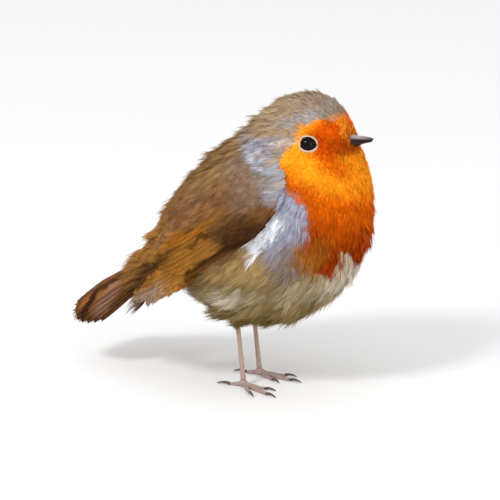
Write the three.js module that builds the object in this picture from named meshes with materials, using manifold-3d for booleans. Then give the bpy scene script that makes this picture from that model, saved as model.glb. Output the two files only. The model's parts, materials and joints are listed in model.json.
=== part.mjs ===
// European robin, life size, standing: a still model in millimetres.
// +X is the way the bird faces, +Y its left, +Z up. The floor is z = 0.
// Every place below is measured from the stance point, on the floor between the feet;
// the finished group is shifted so that the middle of its base is the origin.
import * as THREE from "three";
import { mergeVertices } from "three/addons/utils/BufferGeometryUtils.js";
import Module from "manifold-3d";

const wasm = await Module();
wasm.setup();

// ---------------------------------------------------------------- driving sizes

const GAP = 0.3; // between nodes that touch
const CUT = 0.4; // how much a neighbour is grown before it is cut away
const V = (x, y, z) => new THREE.Vector3(x, y, z);
const rad = THREE.MathUtils.degToRad;

// Side outline of head, neck and torso, as spans from the back line to the belly line:
// where the span starts and ends in the bird's middle plane, and the half width there.
const REAR_END = { x: -42, z: 38.5 };
const CROWN_END = { x: 30.3, z: 103 };
const BODY_SPANS = [
  { back: [-39.6, 43.6], belly: [-33.5, 36.6], halfWidth: 6.5 }, // tail root
  { back: [-33.2, 54], belly: [-22.4, 34.8], halfWidth: 12.5 }, // rump to vent
  { back: [-27.2, 65.8], belly: [-12.4, 25.8], halfWidth: 19 },
  { back: [-21, 73.6], belly: [1.5, 20.6], halfWidth: 24 }, // mantle to thighs
  { back: [-15, 80.2], belly: [20.5, 24.6], halfWidth: 26 },
  { back: [-8.8, 85.6], belly: [35.4, 36.4], halfWidth: 26.5 },
  { back: [-3.2, 90.2], belly: [43.6, 52.5], halfWidth: 25 }, // shoulders to breast
  { back: [2, 95.2], belly: [45.2, 66.5], halfWidth: 21 },
  { back: [6.4, 99.2], belly: [43, 77.5], halfWidth: 18.2 }, // nape to throat
  { back: [11, 102.6], belly: [40, 85.6], halfWidth: 17 }, // chin
  { back: [16.4, 105], belly: [38, 91.8], halfWidth: 15.8 }, // bill root
  { back: [21.9, 105], belly: [35.4, 98], halfWidth: 12 }, // forehead
];
const FACE_TAPER = 0.34; // how much narrower the face is than the back of the head
const BODY_AROUND = 32;
const BODY_ALONG = 28;

// Planes that part the body: a point on each in the middle plane and its slope.
const NECK_BASE = { x: 20, z: 72.5, slope: -30 };
const HEAD_BASE = { x: 20, z: 86, slope: -30 };
const BREAST_EDGE = { x: 24.5, z: 68, slope: -72 };
const BREAST_BASE = { x: 40, z: 41, slope: 14 };
const FACE_EDGE = { x: 21.4, z: 91, slope: 58 };

const EYE_RADIUS = 3.7;
const EYE = { x: 27.8, z: 91.4, sunk: 2.2 };
const LID = { radius: 3.5, thick: 0.6, tall: 0.86 };

const BILL = { root: [33.5, 89.7], tip: [45.2, 91], rootHalfWidth: 3.3, upperDepth: 1.9, lowerDepth: 1.9 };
const NOSTRIL = { x: 40, y: 1.65, z: 91.5, radius: 0.45 };

// Wing chart: p runs from the wrist to the wing tip, q across it towards the back.
const WRIST = { x: 19.5, z: 69.8 };
const WING_SLOPE = 35.7; // degrees below level
const WING_LENGTH = 73;
const WING_DOME = { p: 18, q: -6, alongP: 62, alongQ: 31, height: 29 };
const WING_CLEAR = 0.9; // the wing's face stands at least this far off the body

// Vane outlines: the share of the length at each ring, and the share of the full width.
const FLIGHT_OUTLINE = [[0, 0.5], [0.45, 1], [0.8, 0.92], [0.94, 0.56], [1, 0]];
const COVERT_OUTLINE = [[0, 0.6], [0.55, 1], [0.87, 0.74], [1, 0]];

// Wing feathers, tier by tier from the innermost layer out, on the chart. Within a tier
// the feathers run from the wing's lower edge up, each lying over the one before it.
// rise: height at root and tip over the wing's face; roll: how far the lower edge lifts.
const WING_TIERS = {
  primaries: {
    roots: [[6, -1.8], [12, 3.4]],
    tips: [[52.5, -3.6], [60, -3.2], [67, -2], [73, -0.4], [70.5, 1.4], [66, 3], [61.5, 4.6]],
    half: 2.4, rise: [-2.2, -0.9], roll: 22.6, outline: FLIGHT_OUTLINE,
  },
  secondaries: {
    roots: [[10, 1], [16, 8]],
    tips: [[47, 0.6], [50, 2.8], [52.5, 5], [54.5, 7], [55.5, 9]],
    half: 2.8, rise: [-2, 0.05], roll: 20.5, outline: FLIGHT_OUTLINE,
  },
  tertials: {
    roots: [[16, 9], [18, 14]],
    tips: [[52, 10.8], [46.5, 13], [40, 15.4]],
    half: 3.4, rise: [-1.8, 0.9], roll: 16, outline: FLIGHT_OUTLINE,
  },
  primaryCoverts: {
    roots: [[3, -2.6], [6, -1]],
    tips: [[19.5, -4], [22.5, -3.4], [25.5, -2.2]],
    half: 1.8, rise: [-2.2, 0.5], roll: 20.8, outline: COVERT_OUTLINE,
  },
  alula: {
    roots: [[0, -1.8], [1, -1]],
    tips: [[12.6, -4], [15.8, -2.9]],
    half: 1.7, rise: [-2.2, 1.1], roll: 20, outline: COVERT_OUTLINE,
  },
  greaterCoverts: {
    roots: [[5, 0.4], [12, 14]],
    tips: [[21.7, -0.5], [23.6, 1.7], [25.3, 3.8], [27, 6], [28.6, 8.3], [30, 10.6], [31, 13]],
    half: 2.3, rise: [-2, 1.1], roll: 15, outline: COVERT_OUTLINE,
  },
  medianCoverts: {
    roots: [[-1, 1], [5, 15]],
    tips: [[11, 0], [12.8, 2.6], [14.5, 5.2], [16.2, 7.8], [17.8, 10.4], [19.2, 13]],
    half: 2.6, rise: [-2, 1.5], roll: 14, outline: COVERT_OUTLINE,
  },
  lesserCoverts: {
    roots: [[-4.5, 2.4], [-3, 15]],
    tips: [[3.6, 0.8], [5, 3.8], [6.4, 6.8], [7.8, 9.8], [9, 12.8]],
    half: 2.8, rise: [-2.2, 1.7], roll: 13, outline: COVERT_OUTLINE,
  },
  scapulars: {
    roots: [[8, 15], [8, 22]],
    tips: [[37, 15.6], [33, 18.4], [28, 21]],
    half: 3.4, rise: [-1.6, 1.7], roll: 12, outline: FLIGHT_OUTLINE,
  },
  upperScapulars: {
    roots: [[-3, 15], [-1, 22]],
    tips: [[22, 16], [20, 19], [17, 22]],
    half: 3.3, rise: [-1.6, 2.1], roll: 12, outline: COVERT_OUTLINE,
  },
};

// Tail chart: p runs from the root to the tip, q to the bird's left, n up off the feathers.
const TAIL = { root: [-24, 49.2], tip: [-67.4, 19.6], roll: 28, roof: 0.2 };
const TAIL_LENGTH = Math.hypot(TAIL.tip[0] - TAIL.root[0], TAIL.tip[1] - TAIL.root[1]);
const TAIL_PAIRS = [-1, 0, -0.2, -0.8, -1.7, -2.8]; // tips against the full length, from the middle out
const TAIL_FEATHER = { half: 3.1, atRoot: 0.5, atTip: 1.7, step: 0.44, roll: 4 };

const FOOT_Y = 7.4;
const FOOT_X = 0.5;
const TARSUS = { top: [-2.1, 27], footZ: 2.2, topRadius: 1.0, midRadius: 0.75, footRadius: 1.05 };
const THIGH = { top: [-2.6, 33], bottom: [-1.8, 20.4], topRadius: 6, bottomRadius: 1.6 };
const TOES = {
  hind: { length: 5.5, claw: 4.5, radius: 0.85, right: 184, left: 180 },
  inner: { length: 9.5, claw: 3.8, radius: 0.8, right: -8, left: -36 },
  middle: { length: 14, claw: 4.4, radius: 0.9, right: -30, left: -14 },
  outer: { length: 10, claw: 3.8, radius: 0.8, right: -54, left: 7 },
};

// ---------------------------------------------------------------- solids

// Closed surface through rings of points, one ring or single point after another.
// With mirrorSplit the two faces of a thin vane are divided into like triangles.
function loft(rings, mirrorSplit = false) {
  const count = Math.max(...rings.map((ring) => ring.length));
  const points = [];
  const starts = rings.map((ring) => points.push(...ring) - ring.length);
  const triangles = [];
  for (let i = 0; i + 1 < rings.length; i++) {
    const [a, b] = [starts[i], starts[i + 1]];
    for (let j = 0; j < count; j++) {
      const k = (j + 1) % count;
      if (rings[i].length === 1) triangles.push(a, b + k, b + j);
      else if (rings[i + 1].length === 1) triangles.push(a + j, a + k, b);
      else if (mirrorSplit && j >= count / 2)
        triangles.push(a + j, a + k, b + j, a + k, b + k, b + j);
      else triangles.push(a + j, a + k, b + k, a + j, b + k, b + j);
    }
  }
  const last = starts.length - 1;
  for (let j = 1; j + 1 < count; j++) {
    if (rings[0].length > 1) triangles.push(starts[0], starts[0] + j + 1, starts[0] + j);
    if (rings[last].length > 1) triangles.push(starts[last], starts[last] + j, starts[last] + j + 1);
  }
  const geometry = new THREE.BufferGeometry().setFromPoints(points);
  geometry.setIndex(triangles);
  return facingOut(geometry);
}

// The same geometry with its triangles turned round where it encloses a negative volume.
function facingOut(geometry) {
  const { position } = geometry.attributes;
  const order = geometry.index.array;
  const corner = (i) => new THREE.Vector3().fromBufferAttribute(position, order[i]);
  let volume = 0;
  for (let i = 0; i < order.length; i += 3)
    volume += corner(i).dot(corner(i + 1).cross(corner(i + 2)));
  if (volume < 0) for (let i = 0; i < order.length; i += 3) [order[i], order[i + 1]] = [order[i + 1], order[i]];
  return geometry;
}

function toSolid(geometry) {
  const bare = geometry.clone();
  bare.deleteAttribute("normal");
  bare.deleteAttribute("uv");
  const merged = mergeVertices(bare, 1e-4);
  return new wasm.Manifold(
    new wasm.Mesh({
      numProp: 3,
      vertProperties: Float32Array.from(merged.attributes.position.array),
      triVerts: Uint32Array.from(merged.index.array),
    }),
  );
}

const fuse = (...solids) => wasm.Manifold.union(solids);

// The largest closed surface of a solid, as a geometry.
function toGeometry(solid) {
  const pieces = solid.decompose().sort((a, b) => b.volume() - a.volume());
  const mesh = pieces[0].getMesh();
  const geometry = new THREE.BufferGeometry();
  const places = new Float32Array(mesh.numVert * 3);
  for (let i = 0; i < mesh.numVert; i++)
    places.set(mesh.vertProperties.subarray(i * mesh.numProp, i * mesh.numProp + 3), i * 3);
  geometry.setAttribute("position", new THREE.BufferAttribute(places, 3));
  geometry.setIndex(new THREE.BufferAttribute(Uint32Array.from(mesh.triVerts), 1));
  return geometry;
}

// The same closed surface on the other side of the middle plane.
const mirrorImage = (geometry) => facingOut(geometry.clone().scale(1, -1, 1));

// Round tube through points of given radii, closed with a cap or a point at each end.
function taperedTube(stops, sides) {
  const rings = stops.map(({ at, radius }, i) => {
    const before = stops[Math.max(i - 1, 0)].at;
    const after = stops[Math.min(i + 1, stops.length - 1)].at;
    if (radius === 0) return [at];
    const along = after.clone().sub(before).normalize();
    const side = V(0, 1, 0).addScaledVector(along, -along.y).normalize();
    const up = along.clone().cross(side);
    return Array.from({ length: sides }, (_, j) => {
      const angle = (j / sides) * 2 * Math.PI;
      return at
        .clone()
        .addScaledVector(side, radius * Math.cos(angle))
        .addScaledVector(up, radius * Math.sin(angle));
    });
  });
  return loft(rings);
}

// ---------------------------------------------------------------- body

const flat = ([x, z]) => V(x, 0, z);
const ends = (key) =>
  new THREE.CatmullRomCurve3(
    [V(REAR_END.x, 0, REAR_END.z), ...BODY_SPANS.map((span) => flat(span[key])), V(CROWN_END.x, 0, CROWN_END.z)],
    false,
    "centripetal",
  );
const backLine = ends("back");
const bellyLine = ends("belly");
const widthLine = new THREE.CatmullRomCurve3(
  [V(0, 0, 0), ...BODY_SPANS.map((span, i) => V(i + 1, span.halfWidth ** 2 / 10, 0)), V(BODY_SPANS.length + 1, 0, 0)],
  false,
  "catmullrom",
);

const faceTaper = (t) => FACE_TAPER * THREE.MathUtils.smoothstep(t, 0.66, 0.86);

// One ring of the body, at a share t of the way from tail root to crown, grown by a margin.
function bodyRing(t, grow) {
  const back = backLine.getPoint(t);
  const belly = bellyLine.getPoint(t);
  const centre = back.clone().lerp(belly, 0.5);
  const across = back.clone().sub(centre);
  const halfSpan = across.length();
  across.normalize();
  const widest = Math.sqrt(Math.max(widthLine.getPoint(t).y, 0) * 10);
  return Array.from({ length: BODY_AROUND }, (_, j) => {
    const angle = (j / BODY_AROUND) * 2 * Math.PI;
    const halfWidth = widest * (1 - (faceTaper(t) * (1 - Math.cos(angle))) / 2);
    return centre
      .clone()
      .addScaledVector(across, (halfSpan + grow) * Math.cos(angle))
      .add(V(0, (halfWidth + grow) * Math.sin(angle), 0));
  });
}

function bodyForm(grow = 0) {
  const rings = [];
  for (let i = 1; i < BODY_ALONG; i++) {
    const t = (1 - Math.cos((Math.PI * i) / BODY_ALONG)) / 2;
    rings.push(bodyRing(t, grow));
  }
  const out = (from, to) => to.clone().addScaledVector(to.clone().sub(from).normalize(), grow);
  const rear = V(REAR_END.x, 0, REAR_END.z);
  const crown = V(CROWN_END.x, 0, CROWN_END.z);
  const middle = backLine.getPoint(0.5);
  return toSolid(loft([[out(middle, rear)], ...rings, [out(middle, crown)]]));
}

// Half width of the body at a place in its middle plane, 0 outside it.
function halfWidthAt(x, z) {
  let [low, high] = [0, 1];
  for (let i = 0; i < 24; i++) {
    const t = (low + high) / 2;
    const back = backLine.getPoint(t);
    const span = bellyLine.getPoint(t).sub(back);
    const ahead = span.x * (z - back.z) - span.z * (x - back.x) > 0;
    [low, high] = ahead ? [t, high] : [low, t];
  }
  const back = backLine.getPoint(low);
  const centre = back.clone().lerp(bellyLine.getPoint(low), 0.5);
  const up = back.sub(centre);
  const share = ((x - centre.x) * up.x + (z - centre.z) * up.z) / up.lengthSq();
  const widest = Math.sqrt(Math.max(widthLine.getPoint(low).y, 0) * 10);
  return Math.abs(share) < 1 ? widest * Math.sqrt(1 - share * share) * (1 - (faceTaper(low) * (1 - share)) / 2) : 0;
}

// A half space above or below a plane that crosses the middle plane at a slope.
function halfSpace({ x, z, slope }, above, margin = GAP / 2) {
  const size = 400;
  const box = new THREE.BoxGeometry(size, size, size);
  box.translate(0, 0, above ? size / 2 + margin : -size / 2 - margin);
  box.rotateY(-rad(slope));
  box.translate(x, 0, z);
  return toSolid(box);
}

const body = bodyForm();
const bodyGrown = bodyForm(CUT);

// ---------------------------------------------------------------- head

const cheek = halfWidthAt(EYE.x, EYE.z);
const cheekNormal = V(
  cheek - halfWidthAt(EYE.x + 1, EYE.z),
  1,
  cheek - halfWidthAt(EYE.x, EYE.z + 1),
).normalize();
const mirrored = ({ x, y, z }, side) => V(x, side * y, z);

// A ball or ring set along the cheek's normal, a depth below its surface.
function onCheek(geometry, side, depth) {
  const turn = new THREE.Quaternion().setFromUnitVectors(V(0, 0, 1), mirrored(cheekNormal, side));
  const at = V(EYE.x, cheek, EYE.z).addScaledVector(cheekNormal, -depth);
  return geometry.applyQuaternion(turn).translate(...mirrored(at, side).toArray());
}

const eyeGeometry = (side) => onCheek(new THREE.SphereGeometry(EYE_RADIUS, 14, 10), side, EYE.sunk);

function lidRing(side) {
  const ring = new THREE.TorusGeometry(LID.radius, LID.thick, 6, 18);
  ring.scale(1, LID.tall, 1);
  return toSolid(onCheek(ring, side, -0.15));
}

const socket = (side) => toSolid(onCheek(new THREE.SphereGeometry(EYE_RADIUS + GAP, 14, 10), side, EYE.sunk));

function faceSolid() {
  let head = body.intersect(halfSpace(HEAD_BASE, true)).intersect(halfSpace(FACE_EDGE, false));
  for (const side of [-1, 1]) head = head.add(lidRing(side));
  for (const side of [-1, 1]) head = head.subtract(socket(side));
  return head;
}

const skull = body.intersect(halfSpace(HEAD_BASE, true));
const trunk = body.intersect(halfSpace(HEAD_BASE, false));
const breastBlock = (margin) => halfSpace(BREAST_EDGE, true, margin).intersect(halfSpace(BREAST_BASE, true, margin));
const behindBreast = trunk.subtract(breastBlock(-GAP / 2));

// One mandible: a tapering half cone, flat on the mouth line.
function mandible(upper) {
  const [rootX, rootZ] = BILL.root;
  const [tipX, tipZ] = BILL.tip;
  const depth = upper ? BILL.upperDepth : BILL.lowerDepth;
  const sign = upper ? 1 : -1;
  const rings = [0, 0.3, 0.6, 0.82, 0.95].map((t) => {
    const taper = upper ? 1 - 0.62 * t ** 1.25 - 0.2 * t ** 6 : 1 - 0.8 * t ** 1.3;
    const x = THREE.MathUtils.lerp(rootX, tipX, t);
    const mouth = THREE.MathUtils.lerp(rootZ, tipZ, t) + (sign * GAP) / 2;
    const halfWidth = BILL.rootHalfWidth * (1 - 0.8 * t);
    return Array.from({ length: 9 }, (_, j) => {
      const angle = (j / 8) * Math.PI;
      return V(x, halfWidth * Math.cos(angle), mouth + sign * depth * taper * Math.sin(angle));
    });
  });
  const droop = upper ? -0.25 : -0.1;
  const end = V(upper ? tipX + 0.3 : tipX - 0.4, 0, tipZ + droop + (sign * GAP) / 2 + sign * 0.15);
  return toSolid(loft([...rings, [end]]));
}

function billSolid(upper) {
  let bill = mandible(upper).subtract(bodyGrown);
  if (upper) {
    for (const side of [-1, 1]) {
      const pit = new THREE.SphereGeometry(NOSTRIL.radius, 10, 6).scale(1.6, 0.8, 0.6);
      bill = bill.subtract(toSolid(pit.translate(NOSTRIL.x, side * NOSTRIL.y, NOSTRIL.z)));
    }
  }
  return bill;
}

// ---------------------------------------------------------------- wings

const wingAlong = V(-Math.cos(rad(WING_SLOPE)), 0, -Math.sin(rad(WING_SLOPE)));
const wingAcross = V(-Math.sin(rad(WING_SLOPE)), 0, Math.cos(rad(WING_SLOPE)));

// The place on a wing's outer face at chart (p, q), lifted by n.
function onWing(side, p, q, n) {
  const place = V(WRIST.x, 0, WRIST.z).addScaledVector(wingAlong, p).addScaledVector(wingAcross, q);
  const dome = 1 - ((p - WING_DOME.p) / WING_DOME.alongP) ** 2 - ((q - WING_DOME.q) / WING_DOME.alongQ) ** 2;
  const off = halfWidthAt(place.x, place.z);
  const out = Math.max(WING_DOME.height * Math.sqrt(Math.max(dome, 0.05)), off > 0 ? off + WING_CLEAR : 0);
  return place.setY(side * (out + n));
}

// A thin feather vane along a straight line on a chart, whose place(p, q, n) gives a point.
function vane(place, { root, tip, half, rise, roll, outline, thick = 0.55 }) {
  const tilt = Math.tan(rad(roll));
  const rings = outline.map(([t, share]) => {
    const [p, q] = [0, 1].map((i) => THREE.MathUtils.lerp(root[i], tip[i], t));
    const n = THREE.MathUtils.lerp(rise[0], rise[1], Math.min(t * 1.4, 1));
    const deep = thick * (1 - 0.35 * t);
    if (share === 0) return [place(p, q, n)];
    const at = (across, lift) => place(p, q + across * share * half, n - tilt * across * share * half + lift);
    const [top, low] = [deep / 2, -deep / 2];
    return [at(-1, top), at(-0.1, top + 0.12), at(1, top), at(1, low), at(-0.1, low + 0.12), at(-1, low)];
  });
  return toSolid(loft(rings, true));
}

// The feathers of one tier, their roots spread evenly between the first and the last.
function tier(place, { roots, tips, ...vanes }) {
  return tips.map((tip, i) => {
    const root = [0, 1].map((k) => THREE.MathUtils.lerp(roots[0][k], roots[1][k], i / (tips.length - 1)));
    return vane(place, { root, tip, ...vanes });
  });
}

// The flesh and down that carry the feathers, from the wrist to the middle of the wing.
function wingPad(side) {
  const steps = 9;
  const rings = [];
  for (let i = 1; i < steps; i++) {
    const t = (1 - Math.cos((Math.PI * i) / steps)) / 2;
    const p = -7 + 52 * t;
    const bulge = Math.sqrt(1 - (2 * t - 1) ** 2);
    const half = 11 * (t < 0.4 ? bulge ** 0.5 : 1 - 0.85 * ((t - 0.4) / 0.6) ** 1.6);
    const mid = 8.2 - 4.4 * t - 1.8 * Math.max(1 - t / 0.25, 0);
    rings.push(
      Array.from({ length: 12 }, (_, j) => {
        const angle = (j / 12) * 2 * Math.PI;
        const [across, up] = [Math.cos(angle), Math.sin(angle)];
        const n = up > 0 ? 0.9 * up * bulge - 1.5 : -1.5 + 7 * bulge * up;
        return onWing(side, p, mid + half * across, n);
      }),
    );
  }
  return toSolid(loft([[onWing(side, -7, 6.4, -2.5)], ...rings, [onWing(side, 45, 3.6, -2)]]));
}

function wingSolid(side) {
  const place = (p, q, n) => onWing(side, p, q, n);
  const feathers = Object.values(WING_TIERS).flatMap((sizes) => tier(place, sizes));
  return fuse(wingPad(side), ...feathers).subtract(bodyGrown);
}

// ---------------------------------------------------------------- tail

const tailAlong = flat(TAIL.tip).sub(flat(TAIL.root)).normalize();
const tailUp = V(tailAlong.z, 0, -tailAlong.x);
const tailSide = V(0, Math.cos(rad(TAIL.roll)), 0).addScaledVector(tailUp, Math.sin(rad(TAIL.roll)));
const tailLift = V(0, -Math.sin(rad(TAIL.roll)), 0).addScaledVector(tailUp, Math.cos(rad(TAIL.roll)));

const onTail = (p, q, n) =>
  flat(TAIL.root)
    .addScaledVector(tailAlong, p)
    .addScaledVector(tailSide, q)
    .addScaledVector(tailLift, n - TAIL.roof * Math.sqrt(q * q + 1));

function tailSolid() {
  const { half, atRoot, atTip, step, roll } = TAIL_FEATHER;
  const feathers = TAIL_PAIRS.flatMap((shorter, i) =>
    [-1, 1].map((side) =>
      vane(onTail, {
        root: [4, side * (i + 0.5) * atRoot],
        tip: [TAIL_LENGTH + shorter, side * (i + 0.5) * atTip],
        half: half - 0.1 * i,
        rise: [-i * step * 0.4, -i * step],
        roll: -side * roll,
        outline: FLIGHT_OUTLINE,
        thick: 0.6,
      }),
    ),
  );
  const covert = (p, q, length, n, half) =>
    vane(onTail, {
      root: [p, q * 0.5], tip: [p + length, q], half, rise: [n * 0.4, n], roll: 0, outline: COVERT_OUTLINE,
    });
  const above = [-3.2, 3.2, 0, -5.6, 5.6, -2.2, 2.2].map((q, i) => {
    const short = i > 2;
    return covert(short ? 6 : 9, q, short ? 17 : 21, (short ? 2.3 : 1.3) - 0.12 * Math.abs(q), 3);
  });
  const below = [-3.6, 3.6, 0].map((q) => covert(8, q, 20 - Math.abs(q), -3.4, 3.2));
  const stops = [
    { t: 0, radius: 2.5 },
    { t: 0.22, radius: 3 },
    { t: 0.4, radius: 2.2 },
    { t: 0.52, radius: 0.9 },
  ].map(({ t, radius }) => ({ at: onTail(t * TAIL_LENGTH, 0, -1.6), radius }));
  return fuse(toSolid(taperedTube(stops, 10)), ...feathers, ...above, ...below).subtract(bodyGrown);
}

// ---------------------------------------------------------------- legs

const footPlace = (side) => V(FOOT_X, side * FOOT_Y, TARSUS.footZ);

function thighSolid(side, grow = 0) {
  const at = ([x, z]) => V(x, side * FOOT_Y, z);
  const top = at(THIGH.top);
  const bottom = at(THIGH.bottom);
  const stops = [0, 0.35, 0.7, 1].map((t) => ({
    at: top.clone().lerp(bottom, t),
    radius: THREE.MathUtils.lerp(THIGH.topRadius, THIGH.bottomRadius, t ** 0.9) + grow,
  }));
  if (grow) stops[3].at.z -= grow;
  return toSolid(taperedTube(stops, 14));
}

function tarsusSolid(side) {
  const foot = footPlace(side);
  const top = V(TARSUS.top[0], side * FOOT_Y, TARSUS.top[1]);
  const stops = [
    { t: -0.02, radius: TARSUS.footRadius },
    { t: 0.12, radius: TARSUS.midRadius * 1.12 },
    { t: 0.5, radius: TARSUS.midRadius },
    { t: 0.85, radius: TARSUS.midRadius * 1.15 },
    { t: 1, radius: TARSUS.topRadius },
  ].map(({ t, radius }) => ({ at: foot.clone().lerp(top, t), radius }));
  return toSolid(taperedTube(stops, 12));
}

// A toe from the ball of the foot: it dips from the ball and lies along the floor.
function toeStops(side, { length, radius, ...turn }, from = 0, to = 1) {
  const angle = rad(side < 0 ? turn.right : turn.left);
  const ball = footPlace(side);
  const direction = V(Math.cos(angle), Math.sin(angle), 0);
  const shares = [0, 0.25, 0.5, 0.75, 1].filter((t) => t >= from && t <= to);
  return shares.map((t) => {
    const knuckle = 1 + 0.12 * Math.cos(t * 4 * Math.PI);
    const thick = radius * (1 - 0.3 * t) * knuckle;
    const height = THREE.MathUtils.lerp(TARSUS.footZ - 0.5, thick * 0.75, Math.min(t / 0.35, 1));
    return { at: ball.clone().setZ(height).addScaledVector(direction, t * length), radius: thick };
  });
}

const floor = () => {
  const box = new THREE.BoxGeometry(400, 400, 400);
  return toSolid(box.translate(0, 0, -200));
};

function ballOfFoot(side, grow = 0) {
  const ball = new THREE.SphereGeometry(1.5 + grow, 12, 8);
  const { x, y, z } = footPlace(side);
  return ball.translate(x, y, z - 1);
}

function footSolid(side) {
  const toes = Object.values(TOES).map((toe) => toSolid(taperedTube(toeStops(side, toe), 8)));
  return fuse(toSolid(ballOfFoot(side)), ...toes).subtract(floor());
}

// A claw: it arches forward and down from the toe's end to a point on the floor.
function clawSolid(side, toe, grow = 0) {
  const angle = rad(side < 0 ? toe.right : toe.left);
  const direction = V(Math.cos(angle), Math.sin(angle), 0);
  const start = footPlace(side).setZ(0).addScaledVector(direction, toe.length - 0.8);
  const stops = [0, 0.3, 0.6, 0.85, 1].map((t) => ({
    at: start
      .clone()
      .addScaledVector(direction, (toe.claw + 0.8) * t)
      .setZ(0.55 + 0.75 * Math.sin(Math.PI * Math.min(t * 0.95, 1)) * (1 - t * 0.4) - 0.42 * t),
    radius: t === 1 ? 0 : 0.5 * (1 - t) ** 0.6 + 0.06 + grow,
  }));
  if (grow) stops[0].at.addScaledVector(direction, -grow);
  return toSolid(taperedTube(stops, 8)).subtract(floor());
}

// ---------------------------------------------------------------- assembly

const finish = (color, roughness, metalness = 0) => new THREE.MeshStandardMaterial({ color, roughness, metalness });
const looks = {
  crown: finish(0x9c8468, 0.9),
  orange: finish(0xe06a12, 0.9),
  torso: finish(0xa8926c, 0.95),
  wing: finish(0x8a6238, 0.85),
  tail: finish(0x7d4f2a, 0.85),
  belly: finish(0xa08a5c, 0.95),
  bill: finish(0x2e2624, 0.45),
  eye: finish(0x0c0a0c, 0.08),
  leg: finish(0xa58a7c, 0.6),
  claw: finish(0x4a3c36, 0.5),
};

const bird = new THREE.Group();

function add(name, solid, material) {
  const mesh = new THREE.Mesh(solid.isBufferGeometry ? solid : toGeometry(solid), material);
  mesh.name = name;
  bird.add(mesh);
}

const sides = { right: -1, left: 1 };
const thighs = fuse(thighSolid(-1, CUT), thighSolid(1, CUT));
add("head", skull.intersect(halfSpace(FACE_EDGE, true)), looks.crown);
add("face", faceSolid(), looks.orange);
add("neck", behindBreast.intersect(halfSpace(NECK_BASE, true)), looks.crown);
add("breast", trunk.intersect(breastBlock(GAP / 2)), looks.orange);
add("torso", behindBreast.intersect(halfSpace(NECK_BASE, false)).subtract(thighs), looks.torso);
add("bill_upper", billSolid(true), looks.bill);
add("bill_lower", billSolid(false), looks.bill);
add("tail", tailSolid(), looks.tail);
const rightWing = toGeometry(wingSolid(-1));
for (const [name, side] of Object.entries(sides)) {
  add(`eye_${name}`, eyeGeometry(side), looks.eye);
  add(`wing_${name}`, side < 0 ? rightWing : mirrorImage(rightWing), looks.wing);
  const foot = footSolid(side);
  const thigh = thighSolid(side);
  const footGrown = toSolid(ballOfFoot(side, GAP));
  const tarsus = tarsusSolid(side).subtract(thighSolid(side, GAP)).subtract(footGrown);
  add(`thigh_${name}`, thigh, looks.belly);
  add(`tarsus_${name}`, tarsus, looks.leg);
  const claws = Object.entries(TOES).map(([toe, sizes]) => [toe, clawSolid(side, sizes)]);
  const clawRoots = Object.values(TOES).map((toe) => clawSolid(side, toe, GAP));
  add(`foot_${name}`, foot.subtract(fuse(...clawRoots)), looks.leg);
  for (const [toe, claw] of claws) add(`claw_${name}_${toe}`, claw, looks.claw);
}

const box = new THREE.Box3().setFromObject(bird);
bird.position.set(-(box.min.x + box.max.x) / 2, -(box.min.y + box.max.y) / 2, -box.min.z);

const robin = new THREE.Group();
robin.add(bird);

export default robin;
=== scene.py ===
"""Still, life-size museum model of a European robin: plumage, bill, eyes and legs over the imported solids.

The bird is laid out in stance millimetres: the origin is on the floor between the feet, +X is the way it
faces, +Y its left and +Z up. Meshes are written in metres in the part's own frame.
"""
import json
import math
from contextlib import contextmanager
from functools import lru_cache, wraps

import bpy
import numpy as np
from bpy.props import FloatProperty, FloatVectorProperty, IntProperty, PointerProperty
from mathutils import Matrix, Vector
from mathutils.bvhtree import BVHTree

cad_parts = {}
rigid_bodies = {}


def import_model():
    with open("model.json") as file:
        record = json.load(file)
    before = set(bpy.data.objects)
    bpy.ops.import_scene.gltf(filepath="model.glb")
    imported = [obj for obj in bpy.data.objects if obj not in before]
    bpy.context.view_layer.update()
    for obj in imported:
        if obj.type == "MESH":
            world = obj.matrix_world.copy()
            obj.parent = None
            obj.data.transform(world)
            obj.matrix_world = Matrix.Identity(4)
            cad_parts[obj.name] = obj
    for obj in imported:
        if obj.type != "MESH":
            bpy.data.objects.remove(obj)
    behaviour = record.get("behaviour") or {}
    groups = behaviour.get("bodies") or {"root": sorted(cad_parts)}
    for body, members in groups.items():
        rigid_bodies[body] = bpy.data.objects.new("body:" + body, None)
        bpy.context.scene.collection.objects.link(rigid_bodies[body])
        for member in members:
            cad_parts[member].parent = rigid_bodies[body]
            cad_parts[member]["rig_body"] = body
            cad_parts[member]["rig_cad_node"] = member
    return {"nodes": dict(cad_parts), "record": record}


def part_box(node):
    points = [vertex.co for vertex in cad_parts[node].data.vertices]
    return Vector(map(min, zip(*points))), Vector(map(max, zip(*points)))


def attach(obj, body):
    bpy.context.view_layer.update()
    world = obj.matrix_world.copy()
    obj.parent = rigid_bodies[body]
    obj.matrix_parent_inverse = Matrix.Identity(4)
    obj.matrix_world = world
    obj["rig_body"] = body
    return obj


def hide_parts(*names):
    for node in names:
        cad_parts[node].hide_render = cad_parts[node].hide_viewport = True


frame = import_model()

bl_info = {
    "name": "Robin model",
    "version": (1, 0, 0),
    "blender": (4, 5, 0),
    "location": "3D View > Sidebar > Robin",
    "description": "Dresses the packed solids of a small songbird as a still, life-size museum model",
    "category": "Object",
}

MM = 0.001
BODY = "root"
SIDES = {"right": -1, "left": 1}
FOOT_AHEAD = 0.5
STANCE = np.array([frame["record"]["mounts"][0]["pos_m"][0] / MM - FOOT_AHEAD, 0.0, 0.0])
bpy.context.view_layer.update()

FLESH = ("head", "face", "neck", "breast", "torso", "thigh_right", "thigh_left")
EYES = ("eye_right", "eye_left")
TOES = ("hind", "inner", "middle", "outer")

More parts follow.
